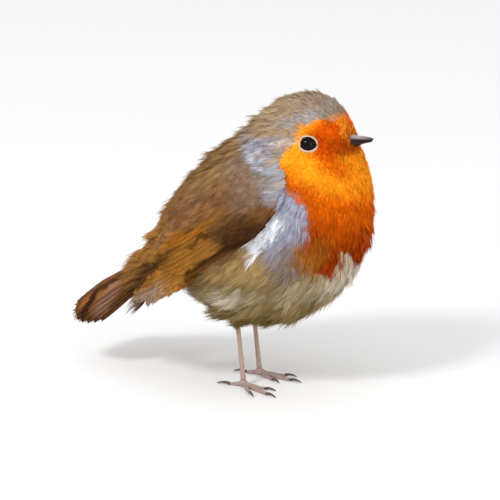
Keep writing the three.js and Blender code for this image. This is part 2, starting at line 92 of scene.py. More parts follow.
# How the coat lies, in millimetres: name, place (x, distance from the middle, z), lie (ahead, outwards, up),
# tuft length, coat depth, tuft half width, how far loose tips stand out, and how far the row counts.
COAT = (
    ("bill_root", (41.5, 0, 95), (-0.30, 0.0, 0.95), 1.9, 0.7, 0.42, 0.1, 3.5),
    ("forehead", (37, 0, 100.5), (-0.80, 0.0, 0.55), 3.0, 1.2, 0.62, 0.15, 6),
    ("crown", (26, 0, 105), (-1.0, 0.0, 0.02), 4.6, 1.7, 0.85, 0.45, 9),
    ("crown_side", (25, 9, 101.5), (-0.98, 0.0, -0.15), 4.2, 1.5, 0.8, 0.25, 6),
    ("hind_crown", (17, 0, 103.5), (-0.97, 0.0, -0.05), 6.0, 2.0, 1.0, 0.45, 7),
    ("nape", (10, 0, 102), (-0.92, 0.0, -0.35), 6.2, 2.2, 1.1, 0.8, 9),
    ("hind_neck", (-2, 0, 92), (-0.78, 0.0, -0.62), 7.0, 2.5, 1.25, 1.1, 10),
    ("mantle", (-12, 8, 80), (-0.76, 0.0, -0.65), 7.6, 2.6, 1.4, 1.2, 11),
    ("back", (-24, 6, 67), (-0.78, 0.0, -0.62), 8.0, 2.4, 1.4, 0.8, 11),
    ("rump", (-36, 3, 51), (-0.86, 0.0, -0.5), 8.0, 1.9, 1.4, 2.1, 9),
    ("lores", (38, 6, 92), (-0.85, 0.45, 0.1), 1.8, 0.6, 0.4, 0.1, 4),
    ("under_eye", (29, 15, 86.5), (-0.8, 0.1, -0.6), 2.2, 0.8, 0.5, 0.15, 4),
    ("eyebrow", (30, 10, 97.3), (-0.97, 0.1, 0.2), 2.4, 0.8, 0.5, 0.2, 4),
    ("behind_eye", (21, 16, 92), (-0.93, 0.1, -0.3), 2.8, 1.0, 0.6, 0.2, 4.5),
    ("cheek", (27, 18, 82), (-0.6, 0.1, -0.78), 3.6, 1.3, 0.75, 0.3, 6),
    ("ear", (14, 18, 87), (-0.86, 0.0, -0.5), 4.8, 1.8, 0.95, 0.5, 7),
    ("chin", (41, 2, 86.5), (-0.05, 0.15, -1.0), 2.2, 1.1, 0.5, 0, 4),
    ("throat", (43, 5, 78), (0.05, 0.1, -1.0), 4.0, 1.9, 0.85, 0.05, 7),
    ("malar", (36, 13, 80), (-0.25, 0.15, -0.95), 3.4, 1.2, 0.75, 0.2, 6),
    ("breast", (45, 5, 62), (-0.05, 0.05, -1.0), 6.2, 2.3, 1.15, 0.9, 10),
    ("breast_side", (32, 20, 62), (-0.22, 0.0, -0.97), 6.6, 2.4, 1.2, 0.5, 9),
    ("neck_side", (18, 22, 76), (-0.62, 0.0, -0.78), 6.4, 2.2, 1.15, 0.5, 8),
    ("low_breast", (40, 8, 47), (-0.35, 0.0, -0.93), 7.2, 2.5, 1.3, 1.0, 8),
    ("fore_belly", (30, 14, 37), (-0.72, 0.0, -0.68), 8.2, 2.6, 1.4, 1.3, 8),
    ("belly", (10, 6, 25), (-0.97, 0.0, -0.22), 8.8, 2.5, 1.5, 1.5, 10),
    ("flank", (8, 26, 52), (-0.72, 0.0, -0.69), 9.0, 2.8, 1.5, 0.8, 10),
    ("low_flank", (6, 21, 35), (-0.86, 0.0, -0.5), 9.0, 2.7, 1.5, 1.6, 9),
    ("rear_belly", (-5, 7, 26), (-0.95, 0.0, -0.28), 9.0, 2.4, 1.5, 4.0, 9),
    ("rear_flank", (-16, 18, 40), (-0.93, 0.0, -0.35), 9.0, 2.4, 1.5, 0.4, 9),
    ("vent", (-28, 5, 33), (-0.97, 0.0, 0.05), 8.5, 1.9, 1.4, 1.2, 9),
    ("thigh", (-2.2, 7.4, 25), (-0.15, 0.0, -1.0), 3.6, 0.9, 0.8, 0.3, 4),
)
# Growth of the moulded body that closes its gaps, and how near two points count as one.
SHELL_GROWTH, WELD = 0.3, 0.02
# Half widths of the body are looked up in its side view: ahead, up, step, and where rays start on its right.
SIDE_VIEW = ((-50, 55), (15, 115), 0.5, -60)
# The coat stays this far from an eye's centre, is this deep there and has its full depth this much farther.
EYE_CLEAR, EYE_COAT, EYE_FADE = 4.3, 0.55, 3
RING_RADIUS, RING_THICK = 3.2, 0.4
BILL_DROP = 0.25
# Scutes: spacing, height, axis that they face, and the share of it where they fade out.
SHANK_SCUTES, TOE_SCUTES = (2.3, 0.09, 0, -0.3), (0.95, 0.07, 2, -0.1)

# Edges between the zones of the coat.
HEAD_FLOOR, FACE_REAR, BREAST_FLOOR, BREAST_REAR = 79, 21, 44, 26

# A tuft's middle line and each of its barbs have this many sections. A barb has one point at its last section
# and two at each of the others, and BARB_STATIONS names the section of each point.
SECTIONS = 4
BARB_STATIONS = [0, 0, 1, 1, 2, 2, 3]
BARB_FACES = np.array([(0, 3, 1), (0, 2, 3), (2, 5, 3), (2, 4, 5), (4, 6, 5)])
# Along a barb (share -> share of its width). Of a tuft: how wide its fan is at the root, how much shorter at
# the sides, how far it domes over its width, and how far its barbs face outwards and stray from that.
BARB_TAPER = ((0, 0.75), (0.35, 1), (0.75, 0.7), (1, 0))
FAN_AT_ROOT, SIDES_SHORTER, TUFT_DOME, BARB_LEAN, LEAN_STRAY = 0.35, 0.32, 0.22, 0.55, 0.35
# Kinds of tuft: number of barbs, how far they stray sideways, and how much wider they are than on the body.
BODY_TUFT = {"barbs": 9, "loose": 0.12, "wider": 1}
TAIL_TUFT = {"barbs": 11, "loose": 0.12, "wider": 1}
WING_TUFT = {"barbs": 13, "loose": 0.05, "wider": 1.15}
TUFT_PATCH = 0.003
PIECE_TRIANGLES = 190000

WRIST = np.array([19.5, 0, 69.8])
WING_SLOPE = math.radians(35.7)
WING_ALONG = np.array([-math.cos(WING_SLOPE), 0, -math.sin(WING_SLOPE)])
WING_ACROSS = np.array([-math.sin(WING_SLOPE), 0, math.cos(WING_SLOPE)])
WING_DOME = {"along": 18, "across": -6, "half_length": 62, "half_width": 31, "height": 29}
WING_CLEAR = 0.9
# The coat is left out under the wing: along and across its chart, and this far from the body's middle.
UNDER_WING = ((4, 44), (2, 15), 8)
# The wing's pad on its chart: where it starts, its length, its middle at the start, how far that falls to the
# end, its half width, and the share of the length from which it narrows.
WING_PAD = {"start": -6, "length": 50, "middle": 8.4, "fall": 4.6, "half": 10.6, "narrows": 0.4}
# Soft coverts: the field that their rows fill on the chart, the step between them, and the fringe of loose
# tufts under the primaries, along the chart.
COVERT_FIELD, COVERT_STEP = ((-8, 36), (-2.2, 23.5)), 1.15
FRINGE, FRINGE_TUFTS = (38, 62), 80
WING_SEED, TAIL_SEED = 5, 9

TAIL_ROOT, TAIL_TIP = np.array([-24, 0, 49.2]), np.array([-67.4, 0, 19.6])
TAIL_ROLL, TAIL_ROOF = math.radians(28), 0.2
TAIL_ALONG = (TAIL_TIP - TAIL_ROOT) / np.linalg.norm(TAIL_TIP - TAIL_ROOT)
LEFT, OVER_TAIL = np.array([0, 1.0, 0]), np.array([TAIL_ALONG[2], 0, -TAIL_ALONG[0]])
TAIL_ACROSS = LEFT * math.cos(TAIL_ROLL) + OVER_TAIL * math.sin(TAIL_ROLL)
TAIL_LIFT = OVER_TAIL * math.cos(TAIL_ROLL) - LEFT * math.sin(TAIL_ROLL)
# Tail feathers from the middle outwards: tip along and across the tail's chart, on its left and on its right.
TAIL_TIPS = {
    1: ((50.8, -2.2), (50, 0), (49, 2.1), (47.8, 4.4), (46.3, 6.6), (44.6, 8.4)),
    -1: ((51.6, -4.4), (51.6, -6.5), (50, -8.4), (47.6, -9.9), (44.8, -11), (41.8, -11.8)),
}
TAIL_FEATHER = {"half": 3.0, "at_root": 0.5, "step": 0.4, "roll": 4}
COVERTS_EACH = 520
# Tufts at the tail's root: how far along the last start, how fast their rows spread and drift, how far off
# their fan meets, height of their roots, rise of their tips, rise of strays over that, and their facing.
TAIL_COVERTS = {
    "tail_coverts_upper": (19, 0.24, 0, 60, (-0.6, 0.6), (0.6, 1.9), 1, 1),
    "tail_coverts_under": (20, 0.38, 0.14, 45, (-2.6, -1.6), (-1.4, -0.3), -0.5, -1),
}

# The stage, in metres: size of the floor, brightness of the sky, and each lamp's name, power setting, size and
# place.
FLOOR_SIZE, SKY = 12, 0.87
LAMPS = (
    ("key light", "key_power", 0.25, (-0.25, -0.8, 0.85)),
    ("fill light", "fill_power", 0.8, (0.9, -0.5, 0.35)),
)

# Outlines of feathers: share along -> share of the half width.
FLIGHT = ((0, 0.5), (0.45, 1), (0.8, 0.94), (0.93, 0.62), (1, 0.12))
RUDDER = ((0, 0.5), (0.45, 1), (0.88, 0.97), (0.97, 0.78), (1, 0.4))
COVERT = ((0, 0.6), (0.5, 1), (0.8, 0.8), (0.93, 0.45), (1, 0.08))
# A firm feather: its blade's rows, thickness, and length and width as shares of the vane; the vane's bow;
# step and slant of its barbs; and its shaft's rows, radius, share of that lost by the tip, length and lift.
BLADE_ROWS, BLADE_THICK, BLADE_LONG, BLADE_WIDE = 14, 0.3, 0.97, 0.86
VANE_BOW, BARB_STEP, BARB_SLANT = 0.16, 0.5, 1.5
SHAFT_ROWS, SHAFT_RADIUS, SHAFT_TAPER, SHAFT_LONG, SHAFT_LIFT = 10, 0.2, 0.8, 0.96, 0.06

# Tiers of firm wing feathers on the wing's chart (along, across): first and last root, line of the tips,
# number of feathers, half width, height at root and tip, roll in degrees and outline.
WING_TIERS = {
    "primary": (
        [(6, -1.8), (12, 3.4)],
        [(51.5, -1.8), (58.5, -1.9), (66, -1.5), (73.5, -0.6), (71.5, 1.5), (66.5, 3.2), (62, 4.8)],
        8, 2.2, (-2.0, -0.6), 22.6, FLIGHT,
    ),
    "secondary": (
        [(10, 1), (16, 8)], [(47, 0.6), (50, 2.8), (52.5, 5), (54.5, 7), (55.5, 9)],
        6, 2.7, (-1.8, 0.0), 18, FLIGHT,
    ),
    "tertial": (
        [(16, 9), (18, 14)], [(52.5, 10.3), (49.5, 11.8), (46, 13.2), (42.5, 14.5), (39, 15.6)],
        6, 2.5, (-1.6, 0.4), 14, FLIGHT,
    ),
    "primary_covert": (
        [(6, -2.2), (8, -0.8)], [(18.5, -3.4), (21.5, -3), (24.5, -2)], 5, 1.4, (-2.0, -0.9), 12, COVERT,
    ),
    "alula": ([(3, -0.6), (4, 0.2)], [(12.2, -3), (15.2, -2.3)], 3, 1.3, (-2.0, -0.6), 12, COVERT),
    "greater_covert": (
        [(5, 0.4), (12, 14)],
        [(21.7, -0.5), (23.6, 1.7), (25.3, 3.8), (27, 6), (28.6, 8.3), (30, 10.6), (31, 13)],
        14, 1.6, (-1.8, 0.4), 13, COVERT,
    ),
}

# Edges of the orange: height -> how far ahead it begins, and ahead -> height of its top and its bottom.
ORANGE_REAR = (
    (40, 30), (47, 28.8), (53, 27.2), (63, 28.6), (73, 28.6), (77, 25.5), (81, 20.5), (85.5, 20.5),
    (89, 21.6), (92, 23.2), (94.5, 24.2), (100, 24.2),
)
ORANGE_TOP = (
    (18, 92), (21.5, 94.2), (25, 95.8), (29, 97), (33, 96.6), (35.2, 96.2), (37.2, 100), (40, 105.5),
    (48, 106),
)
ORANGE_BOTTOM = (
    (24, 57), (28, 54.5), (32, 50.2), (35.6, 49), (37.2, 51), (38.3, 57.5), (39.3, 57), (40.4, 50.5),
    (48, 48),
)
# Directions in the side view (ahead, 0, up) along which one colour follows another.
UP_THE_BACK = (0.72, 0, 0.69)
UP_THE_FLANK = (-0.55, 0, 1)
UP_THE_BIB = (0.5, 0, 1)
UP_THE_BREAST = (0.6, 0, 1)
DOWN_THE_COAT = (-0.45, 0.0, -0.9)

# Oval patches, each over the ones before it: colour, middle (ahead, up), turn in degrees, half length, half
# width, softness of the edge and strength. Those of wing and tail lie on their charts (along, across).
UNDER_PATCHES = (
    ("fore_belly", (38.7, 48), 65, 9.5, 4, 0.7, 1),
    ("fore_belly", (28, 43.5), 25, 8, 4, 0.7, 0.3),
    ("fore_belly", (5.5, 38.3), 14, 8, 3, 0.8, 0.85),
)
SIDE_PATCHES = (
    ("shade_grey", (-39, 26.5), 30, 9, 3.4, 0.5, 0.85),
    # painted shade at the tail's root, under the wing tips
    ("tail_web_and_shade", (-32, 38.5), 35, 8, 3, 0.5, 0.7),
    ("neck_grey", (20, 79), 70, 14, 7.5, 0.4, 1),
    ("side_grey", (24.5, 66), 80, 13, 6.5, 0.35, 1),
    ("shade_grey", (25.5, 54.5), 75, 8, 5.2, 0.5, 1),
    ("wing_gold", (27.8, 58), 80, 6, 2.1, 0.7, 0.75),
    ("side_grey", (14, 87), -35, 9, 3.2, 0.5, 0.95),
    ("patch_white", (18.2, 64), 57, 8.4, 2.6, 0.2, 1),
    ("brow_grey", (24.5, 98), 10, 8, 1.5, 0.6, 0.9),
    ("side_grey", (17, 91.5), 8, 5, 1.6, 0.6, 0.8),
)
ORANGE_PATCHES = (
    ("wing_gold", (30.5, 55), 65, 9, 3, 0.6, 0.85),
    ("orange_face", (33.5, 91.8), 0, 6.5, 4.6, 0.4, 1),
    ("orange_face", (34.5, 86), -55, 5, 2.2, 0.7, 0.75),
    ("orange_brow", (39, 95), -70, 6, 3.5, 0.3, 1),
    # painted shade at the gape corner, under the root of the bill
    ("orange_low_shade", (37, 89.4), -25, 3.8, 1.8, 0.6, 0.7),
)
LID_STREAK = (("lid", (20.5, 91.6), 8, 4.6, 0.8, 0.6, 0.6),)
WING_PATCHES = (
    ("wing_gold", (31, 9.5), 3, 15, 2.2, 0.5, 1),
    ("wing_web_and_shadow", (13, 3.4), 4, 11, 1.6, 0.6, 0.6),
    # painted shadow along the wing's low front edge
    ("wing_web_and_shadow", (11, -1.2), 4, 12.5, 3, 0.35, 0.85),
    ("wing_web_and_shadow", (29.5, 5.6), -3, 7, 1, 0.7, 0.7),
    ("wing_web_and_shadow", (61, 5.2), -7, 19, 2.2, 0.6, 0.9),
    ("side_grey", (-4, 15.6), 68, 8.5, 1.9, 0.5, 0.8),
    ("patch_white", (-3.8, 15.8), 68, 6.5, 1.2, 0.6, 0.25),
)
TAIL_PATCHES = (
    ("tail_mauve", (36, -6.6), -32, 8, 3, 0.5, 0.8),
    ("tail_web_and_shade", (44.3, -4.6), -44, 8, 1.7, 0.5, 1),
    ("tail_web_and_shade", (32, -0.8), 0, 10, 1.4, 0.6, 0.9),
)


# ------------------------------------------------------------------------------------------ numbers


def unit(vectors):
    """The same directions with length one."""
    vectors = np.asarray(vectors, float)
    return vectors / np.maximum(np.linalg.norm(vectors, axis=-1, keepdims=True), 1e-12)


def smooth_step(value, start, stop):
    """0 before start, 1 after stop and an even change between them."""
    t = np.clip((value - start) / (stop - start), 0, 1)
    return t * t * (3 - 2 * t)


def to_metres(points):
    """Stance millimetres to metres in the part's frame."""
    return (np.asarray(points, float) + STANCE) * MM


def to_stance(points):
    """Metres in the part's frame to stance millimetres."""
    return np.asarray(points, float) / MM - STANCE


def linear(red, green, blue):
    """An sRGB colour out of 255 as a linear colour with full alpha."""
    parts = [part / 255 for part in (red, green, blue)]
    return tuple(p / 12.92 if p <= 0.04045 else ((p + 0.055) / 1.055) ** 2.4 for p in parts) + (1.0,)


# Second tones of the bare parts: grain, or height on the leg, mingles them with the colours that a user sets.
LID_SHADE, TOE_SKIN, LEG_SHADE = linear(176, 146, 116), linear(178, 156, 152), linear(146, 118, 104)
CLAW_PALE = linear(96, 78, 70)


# ----------------------------------------------------------------------------------------- settings


def colour(name, description, *rgb):
    """One colour that a user can change, given as sRGB out of 255."""
    looks = {"subtype": "COLOR", "size": 4, "min": 0, "max": 1, "default": linear(*rgb)}
    return FloatVectorProperty(name=name, description=description, **looks)


def number(name, description, default, **settings):
    """One number that a user can change."""
    return FloatProperty(name=name, description=description, default=default, **settings)


class RobinColours(bpy.types.PropertyGroup):
    """Colours of the plumage and of the bare parts."""

    crown: colour("Crown", "Taupe of the crown", 164, 142, 120)
    nape: colour("Nape", "Warm olive brown of the nape", 170, 143, 110)
    mantle: colour("Mantle", "Brown of the upper back", 142, 107, 68)
    rump: colour("Rump", "Rufous brown of the rump", 156, 109, 56)
    side_grey: colour("Side grey", "Blue grey behind the face and beside the breast", 152, 153, 170)
    brow_grey: colour("Brow grey", "Grey band over the eye", 158, 150, 148)
    neck_grey: colour("Neck grey", "Warm grey of the side of the neck", 150, 136, 124)
    shade_grey: colour("Shade grey", "Darker grey brown beside the lower breast", 130, 112, 100)
    patch_white: colour("White patch", "White under the bend of the wing", 232, 234, 238)
    orange_face: colour("Face orange", "Deep orange of forehead and lores", 214, 84, 0)
    orange_throat: colour("Throat orange", "Bright yellow orange of cheek and throat", 246, 154, 22)
    orange_breast: colour("Breast orange", "Orange of the breast", 220, 100, 4)
    # darker orange of the lower breast, partly painted shade under the breast; also the painted shade at the
    # gape corner
    orange_low_shade: colour("Low orange", "Dark orange of the lower breast", 148, 52, 0)
    flank: colour("Flank", "Buff of the flank", 174, 144, 94)
    belly: colour("Belly", "Olive buff of the belly", 136, 114, 74)
    # darker olive under the belly: painted shade on the underside
    belly_low_shade: colour("Low belly", "Dark olive under the belly", 112, 90, 46)
    fore_belly: colour("Fore belly", "Whitish grey under the breast", 196, 184, 164)
    orange_brow: colour("Brow orange", "Bright orange of the forehead's front", 252, 164, 42)
    wing_gold: colour("Wing gold", "Golden streak over the secondaries", 152, 94, 24)
    wing_tip: colour("Wing tip", "Greyish brown of the primary tips", 150, 130, 112)
    covert: colour("Coverts", "Brown of the wing coverts", 118, 80, 40)
    wing_edge: colour("Wing edges", "Ochre edges of the flight feathers", 156, 103, 36)
    # dark inner webs and streaks, and also the painted shadow along the wing's low edge
    wing_web_and_shadow: colour("Wing webs", "Dark brown inner webs", 52, 24, 6)
    wing_mauve: colour("Tertials", "Mauve brown of tertials and scapulars", 136, 95, 57)
    tail_edge: colour("Tail edges", "Rufous edges of the tail feathers", 164, 104, 42)
    # dark tail webs, and also the painted shade at the tail's root under the wing tips
    tail_web_and_shade: colour("Tail webs", "Dark brown of the tail", 58, 28, 8)
    tail_mauve: colour("Tail middle", "Dull mauve of the middle tail feathers", 172, 130, 106)
    # painted highlight on the upper mandible of the bill, strongest at its base
    bill: colour("Bill", "Blackish horn", 34, 24, 21)
    bill_highlight: colour("Bill top", "Paler horn of the ridge and base of the bill", 150, 138, 140)
    leg: colour("Legs", "Pinkish brown leg skin", 180, 154, 136)
    claw: colour("Claws", "Dark horn", 62, 50, 46)
    lid: colour("Eye ring", "Pale buff skin round the eye", 222, 200, 176)


class RobinPlumage(bpy.types.PropertyGroup):
    """Sizes of the plumage."""

    tuft_share: number("Tufts", "Body tufts for each square millimetre of skin", 2.2, min=0.2, max=6)
    tuft_length: number("Tuft length", "Share of the natural length", 1.0, min=0.5, max=1.5)
    barb_width: number("Barb width", "Width of a body barb at its root", 0.00034, unit="LENGTH", precision=5)
    seed: IntProperty(name="Seed", description="Starts every random draw", default=11)


class RobinStudio(bpy.types.PropertyGroup):
    """Camera and light."""

    azimuth: number("Azimuth", "Camera turned round the bird", math.radians(22), unit="ROTATION")
    elevation: number("Elevation", "Camera above the horizon", math.radians(16), unit="ROTATION")
    distance: number("Distance", "Camera to its target", 2.0, unit="LENGTH")
    view_width: number("View width", "Width seen at the target", 0.1724, unit="LENGTH")
    target_height: number("Target height", "Target above the floor", 0.047, unit="LENGTH")
    key_power: number("Key light", "Power of the main light", 6.6, unit="POWER")
    fill_power: number("Fill light", "Power of the fill light", 4.0, unit="POWER")


# -------------------------------------------------------------------------------------- shader webs


class Web:
    """A node tree under construction. Its methods add nodes, feed them and return what they put out."""

    ROWS, STEP_ASIDE, STEP_DOWN = 14, 220, -180
    CURVE_SPAN = 120

    def __init__(self, tree, shader=None):
        self.tree, self.shader = tree, shader

    def node(self, kind, **settings):
        """One node, set down below or beside the last."""
        node = self.tree.nodes.new(kind)
        count = len(self.tree.nodes) - 1
        node.location = (self.STEP_ASIDE * (count // self.ROWS), self.STEP_DOWN * (count % self.ROWS))
        for name, value in settings.items():
            setattr(node, name, value)
        return node

    def feed(self, socket, value):
        """Links an output to a socket or writes a fixed value into it."""
        if isinstance(value, bpy.types.NodeSocket):
            self.tree.links.new(value, socket)
        else:
            socket.default_value = value if np.isscalar(value) else tuple(value)

    def fed(self, kind, values, **settings):
        """The outputs of one node whose inputs are fed in their order or by name."""
        node = self.node(kind, **settings)
        for key, value in values.items() if isinstance(values, dict) else enumerate(values):
            self.feed(node.inputs[key], value)
        return node.outputs

    def math(self, operation, *values):
        return self.fed("ShaderNodeMath", values, operation=operation)[0]

    def vector(self, operation, *values):
        outputs = self.fed("ShaderNodeVectorMath", values, operation=operation)
        return outputs["Value" if operation == "DOT_PRODUCT" else "Vector"]

    def scaled(self, vector, factor):
        return self.fed("ShaderNodeVectorMath", {0: vector, "Scale": factor}, operation="SCALE")[0]

    def split(self, vector):
        return self.fed("ShaderNodeSeparateXYZ", (vector,))

    def attribute(self, name, output="Fac"):
        return self.node("ShaderNodeAttribute", attribute_name=name).outputs[output]

    def own_place(self):
        return self.node("ShaderNodeTexCoord").outputs["Object"]

    def noise(self, place, scale, detail=2.0, roughness=0.5, output="Fac"):
        values = {"Vector": place, "Scale": scale, "Detail": detail, "Roughness": roughness}
        return self.fed("ShaderNodeTexNoise", values)[output]

    def group(self, tree, **inputs):
        return self.fed("ShaderNodeGroup", inputs, node_tree=tree)

    def step(self, value, start, stop, low=0.0, high=1.0):
        """Low before start, high after stop and a smooth change between them."""
        values = (value, start, stop, low, high)
        return self.fed("ShaderNodeMapRange", values, interpolation_type="SMOOTHSTEP")[0]

    def product(self, first, *others):
        """All the values multiplied."""
        for other in others:
            first = self.math("MULTIPLY", first, other)
        return first

    def blend(self, share, under, over):
        """One colour over another; the mix node takes colours at sockets 6 and 7 and gives them at 2."""
        return self.fed("ShaderNodeMix", {0: share, 6: under, 7: over}, data_type="RGBA")[2]

    def shaded(self, base, *factors):
        """A colour made lighter or darker by all the factors together."""
        return self.fed("ShaderNodeHueSaturation", {"Value": self.product(*factors), "Color": base})[0]

    def curve(self, value, points):
        """A smooth curve through (place, height) points, both in millimetres from 0 to the span."""
        node = self.node("ShaderNodeFloatCurve")
        line = node.mapping.curves[0]
        while len(line.points) < len(points):
            line.points.new(0.5, 0.5)
        for handle, (place, height) in zip(line.points, sorted(points)):
            handle.location = (place / self.CURVE_SPAN, height / self.CURVE_SPAN)
        node.mapping.update()
        self.feed(node.inputs["Value"], self.math("DIVIDE", value, self.CURVE_SPAN))
        return self.product(node.outputs[0], self.CURVE_SPAN)

    def stance(self, place):
        """A place in metres as stance millimetres."""
        return self.vector("SUBTRACT", self.scaled(place, 1 / MM), STANCE)

    def ragged(self, place, scale, detail, reach):
        """An offset that wanders with the place, so that edges of colours are ragged."""
        wander = self.vector("SUBTRACT", self.noise(place, scale, detail, output="Color"), (0.5, 0.5, 0.5))
        return self.scaled(wander, reach)

    def chart(self, place, origin, along, across):
        """Where a place lies along and across a chart, and both in one as X and Z."""
        offset = self.vector("SUBTRACT", place, origin)
        p, q = [self.vector("DOT_PRODUCT", offset, axis) for axis in (along, across)]
        return p, q, self.fed("ShaderNodeCombineXYZ", {"X": p, "Z": q})[0]

    def bands(self, value, colours, first, *others):
        """The first colour, and each further one from between its start and stop on."""
        painted = getattr(colours, first)
        for start, stop, name in others:
            painted = self.blend(self.step(value, start, stop), painted, getattr(colours, name))
        return painted

    def patches(self, place, colours, painted, rows):
        """Oval patches over what is painted so far."""
        for name, (ahead, up), turn, long, short, soft, strength in rows:
            size = {"Turn": math.radians(turn), "Long": long, "Short": short, "Soft": soft}
            mask = self.group(soft_patch(), Place=place, Centre=(ahead, 0, up), **size)["Mask"]
            painted = self.blend(self.product(mask, strength), painted, getattr(colours, name))
        return painted

    def paint(self, painted):
        """Gives the material its colour."""
        self.feed(self.shader["Base Color"], painted)

    def grain(self, under, over, **values):
        """Paints two colours mingled by the grain, with its relief where a depth is given."""
        grain = self.group(fine_grain(), Place=self.own_place(), **values)
        self.paint(self.blend(grain["Mask"], under, over))
        if "Depth" in values:
            self.feed(self.shader["Normal"], grain["Normal"])


def made_once(shelf, name):
    """Has a material or node group built under its name the first time, and found again after that."""

    def decorate(build):
        @wraps(build)
        def get(*given):
            return getattr(bpy.data, shelf).get(name) or build(name, *given)

        return get

    return decorate


def new_group(name, outputs, *inputs):
    """An empty shader group with its sockets: its web, what it is given and what takes its results."""
    tree = bpy.data.node_groups.new(name, "ShaderNodeTree")
    kinds = {"vector": "NodeSocketVector", "value": "NodeSocketFloat", "colour": "NodeSocketColor"}
    for label, kind, *default in inputs:
        socket = tree.interface.new_socket(name=label, in_out="INPUT", socket_type=kinds[kind])
        if default:
            socket.default_value = default[0]
    for label, kind in outputs.items():
        tree.interface.new_socket(name=label, in_out="OUTPUT", socket_type=kinds[kind])
    web = Web(tree)
    return web, web.node("NodeGroupInput").outputs, web.node("NodeGroupOutput").inputs


@made_once("node_groups", "Fine grain")
def fine_grain(name):
    """Mask and relief of the fine grain of skin and horn; Depth is in metres."""
    web, given, result = new_group(
        name, {"Mask": "value", "Normal": "vector"}, ("Place", "vector"), ("Scale", "value", 1000.0),
        ("Detail", "value", 2.0), ("Depth", "value", 0.0001),
    )
    grain = web.noise(given["Place"], given["Scale"], given["Detail"])
    web.feed(result["Mask"], grain)
    web.feed(result["Normal"], web.fed("ShaderNodeBump", {"Height": grain, "Distance": given["Depth"]})[0])
    return web.tree


@made_once("node_groups", "Streaks")
def streaks(name):
    """Mask of noise drawn out along the lie of the feathers, in cycles to the millimetre each way."""
    web, given, result = new_group(
        name, {"Mask": "value"}, ("Place", "vector"), ("Lie", "vector"), ("Across", "value", 0.42),
        ("Along", "value", 0.09),
    )
    place, lie, across = given["Place"], given["Lie"], given["Across"]
    longer = web.math("SUBTRACT", given["Along"], across)
    along = web.product(web.vector("DOT_PRODUCT", place, lie), longer)
    drawn = web.vector("ADD", web.scaled(place, across), web.scaled(lie, along))
    web.feed(result["Mask"], web.noise(drawn, 1.0, 3.0, 0.6))
    return web.tree


@made_once("node_groups", "Vane streaks")
def vane_streaks(name):
    """How light broad and fine streaks make a firm feather."""
    web, given, result = new_group(name, {"Light": "value"}, ("Place", "vector"), ("Lie", "vector"))
    line = {"Place": given["Place"], "Lie": given["Lie"]}
    broad = web.math("MULTIPLY_ADD", web.group(streaks(), **line)["Mask"], 0.9, 0.55)
    fine = web.step(web.group(streaks(), Across=1.7, Along=0.12, **line)["Mask"], 0.32, 0.68, 0.76, 1.2)
    web.feed(result["Light"], web.product(broad, fine))
    return web.tree


@made_once("node_groups", "Soft patch")
def soft_patch(name):
    """Mask of an oval patch seen from the side, turned about the bird's own width, with a soft edge."""
    web, given, result = new_group(
        name, {"Mask": "value"}, ("Place", "vector"), ("Centre", "vector"), ("Turn", "value"),
        ("Long", "value", 10.0), ("Short", "value", 5.0), ("Soft", "value", 0.4),
    )
    offset = web.split(web.vector("SUBTRACT", given["Place"], given["Centre"]))
    x, z, soft = offset["X"], offset["Z"], given["Soft"]
    sine, cosine = web.math("SINE", given["Turn"]), web.math("COSINE", given["Turn"])
    along = web.math("ADD", web.product(x, cosine), web.product(z, sine))
    across = web.math("SUBTRACT", web.product(z, cosine), web.product(x, sine))
    shares = [web.math("DIVIDE", along, given["Long"]), web.math("DIVIDE", across, given["Short"])]
    away = web.math("SQRT", web.math("ADD", *(web.product(share, share) for share in shares)))
    mask = web.step(away, web.math("SUBTRACT", 1.0, soft), web.math("ADD", 1.0, soft), 1.0, 0.0)
    web.feed(result["Mask"], mask)
    return web.tree


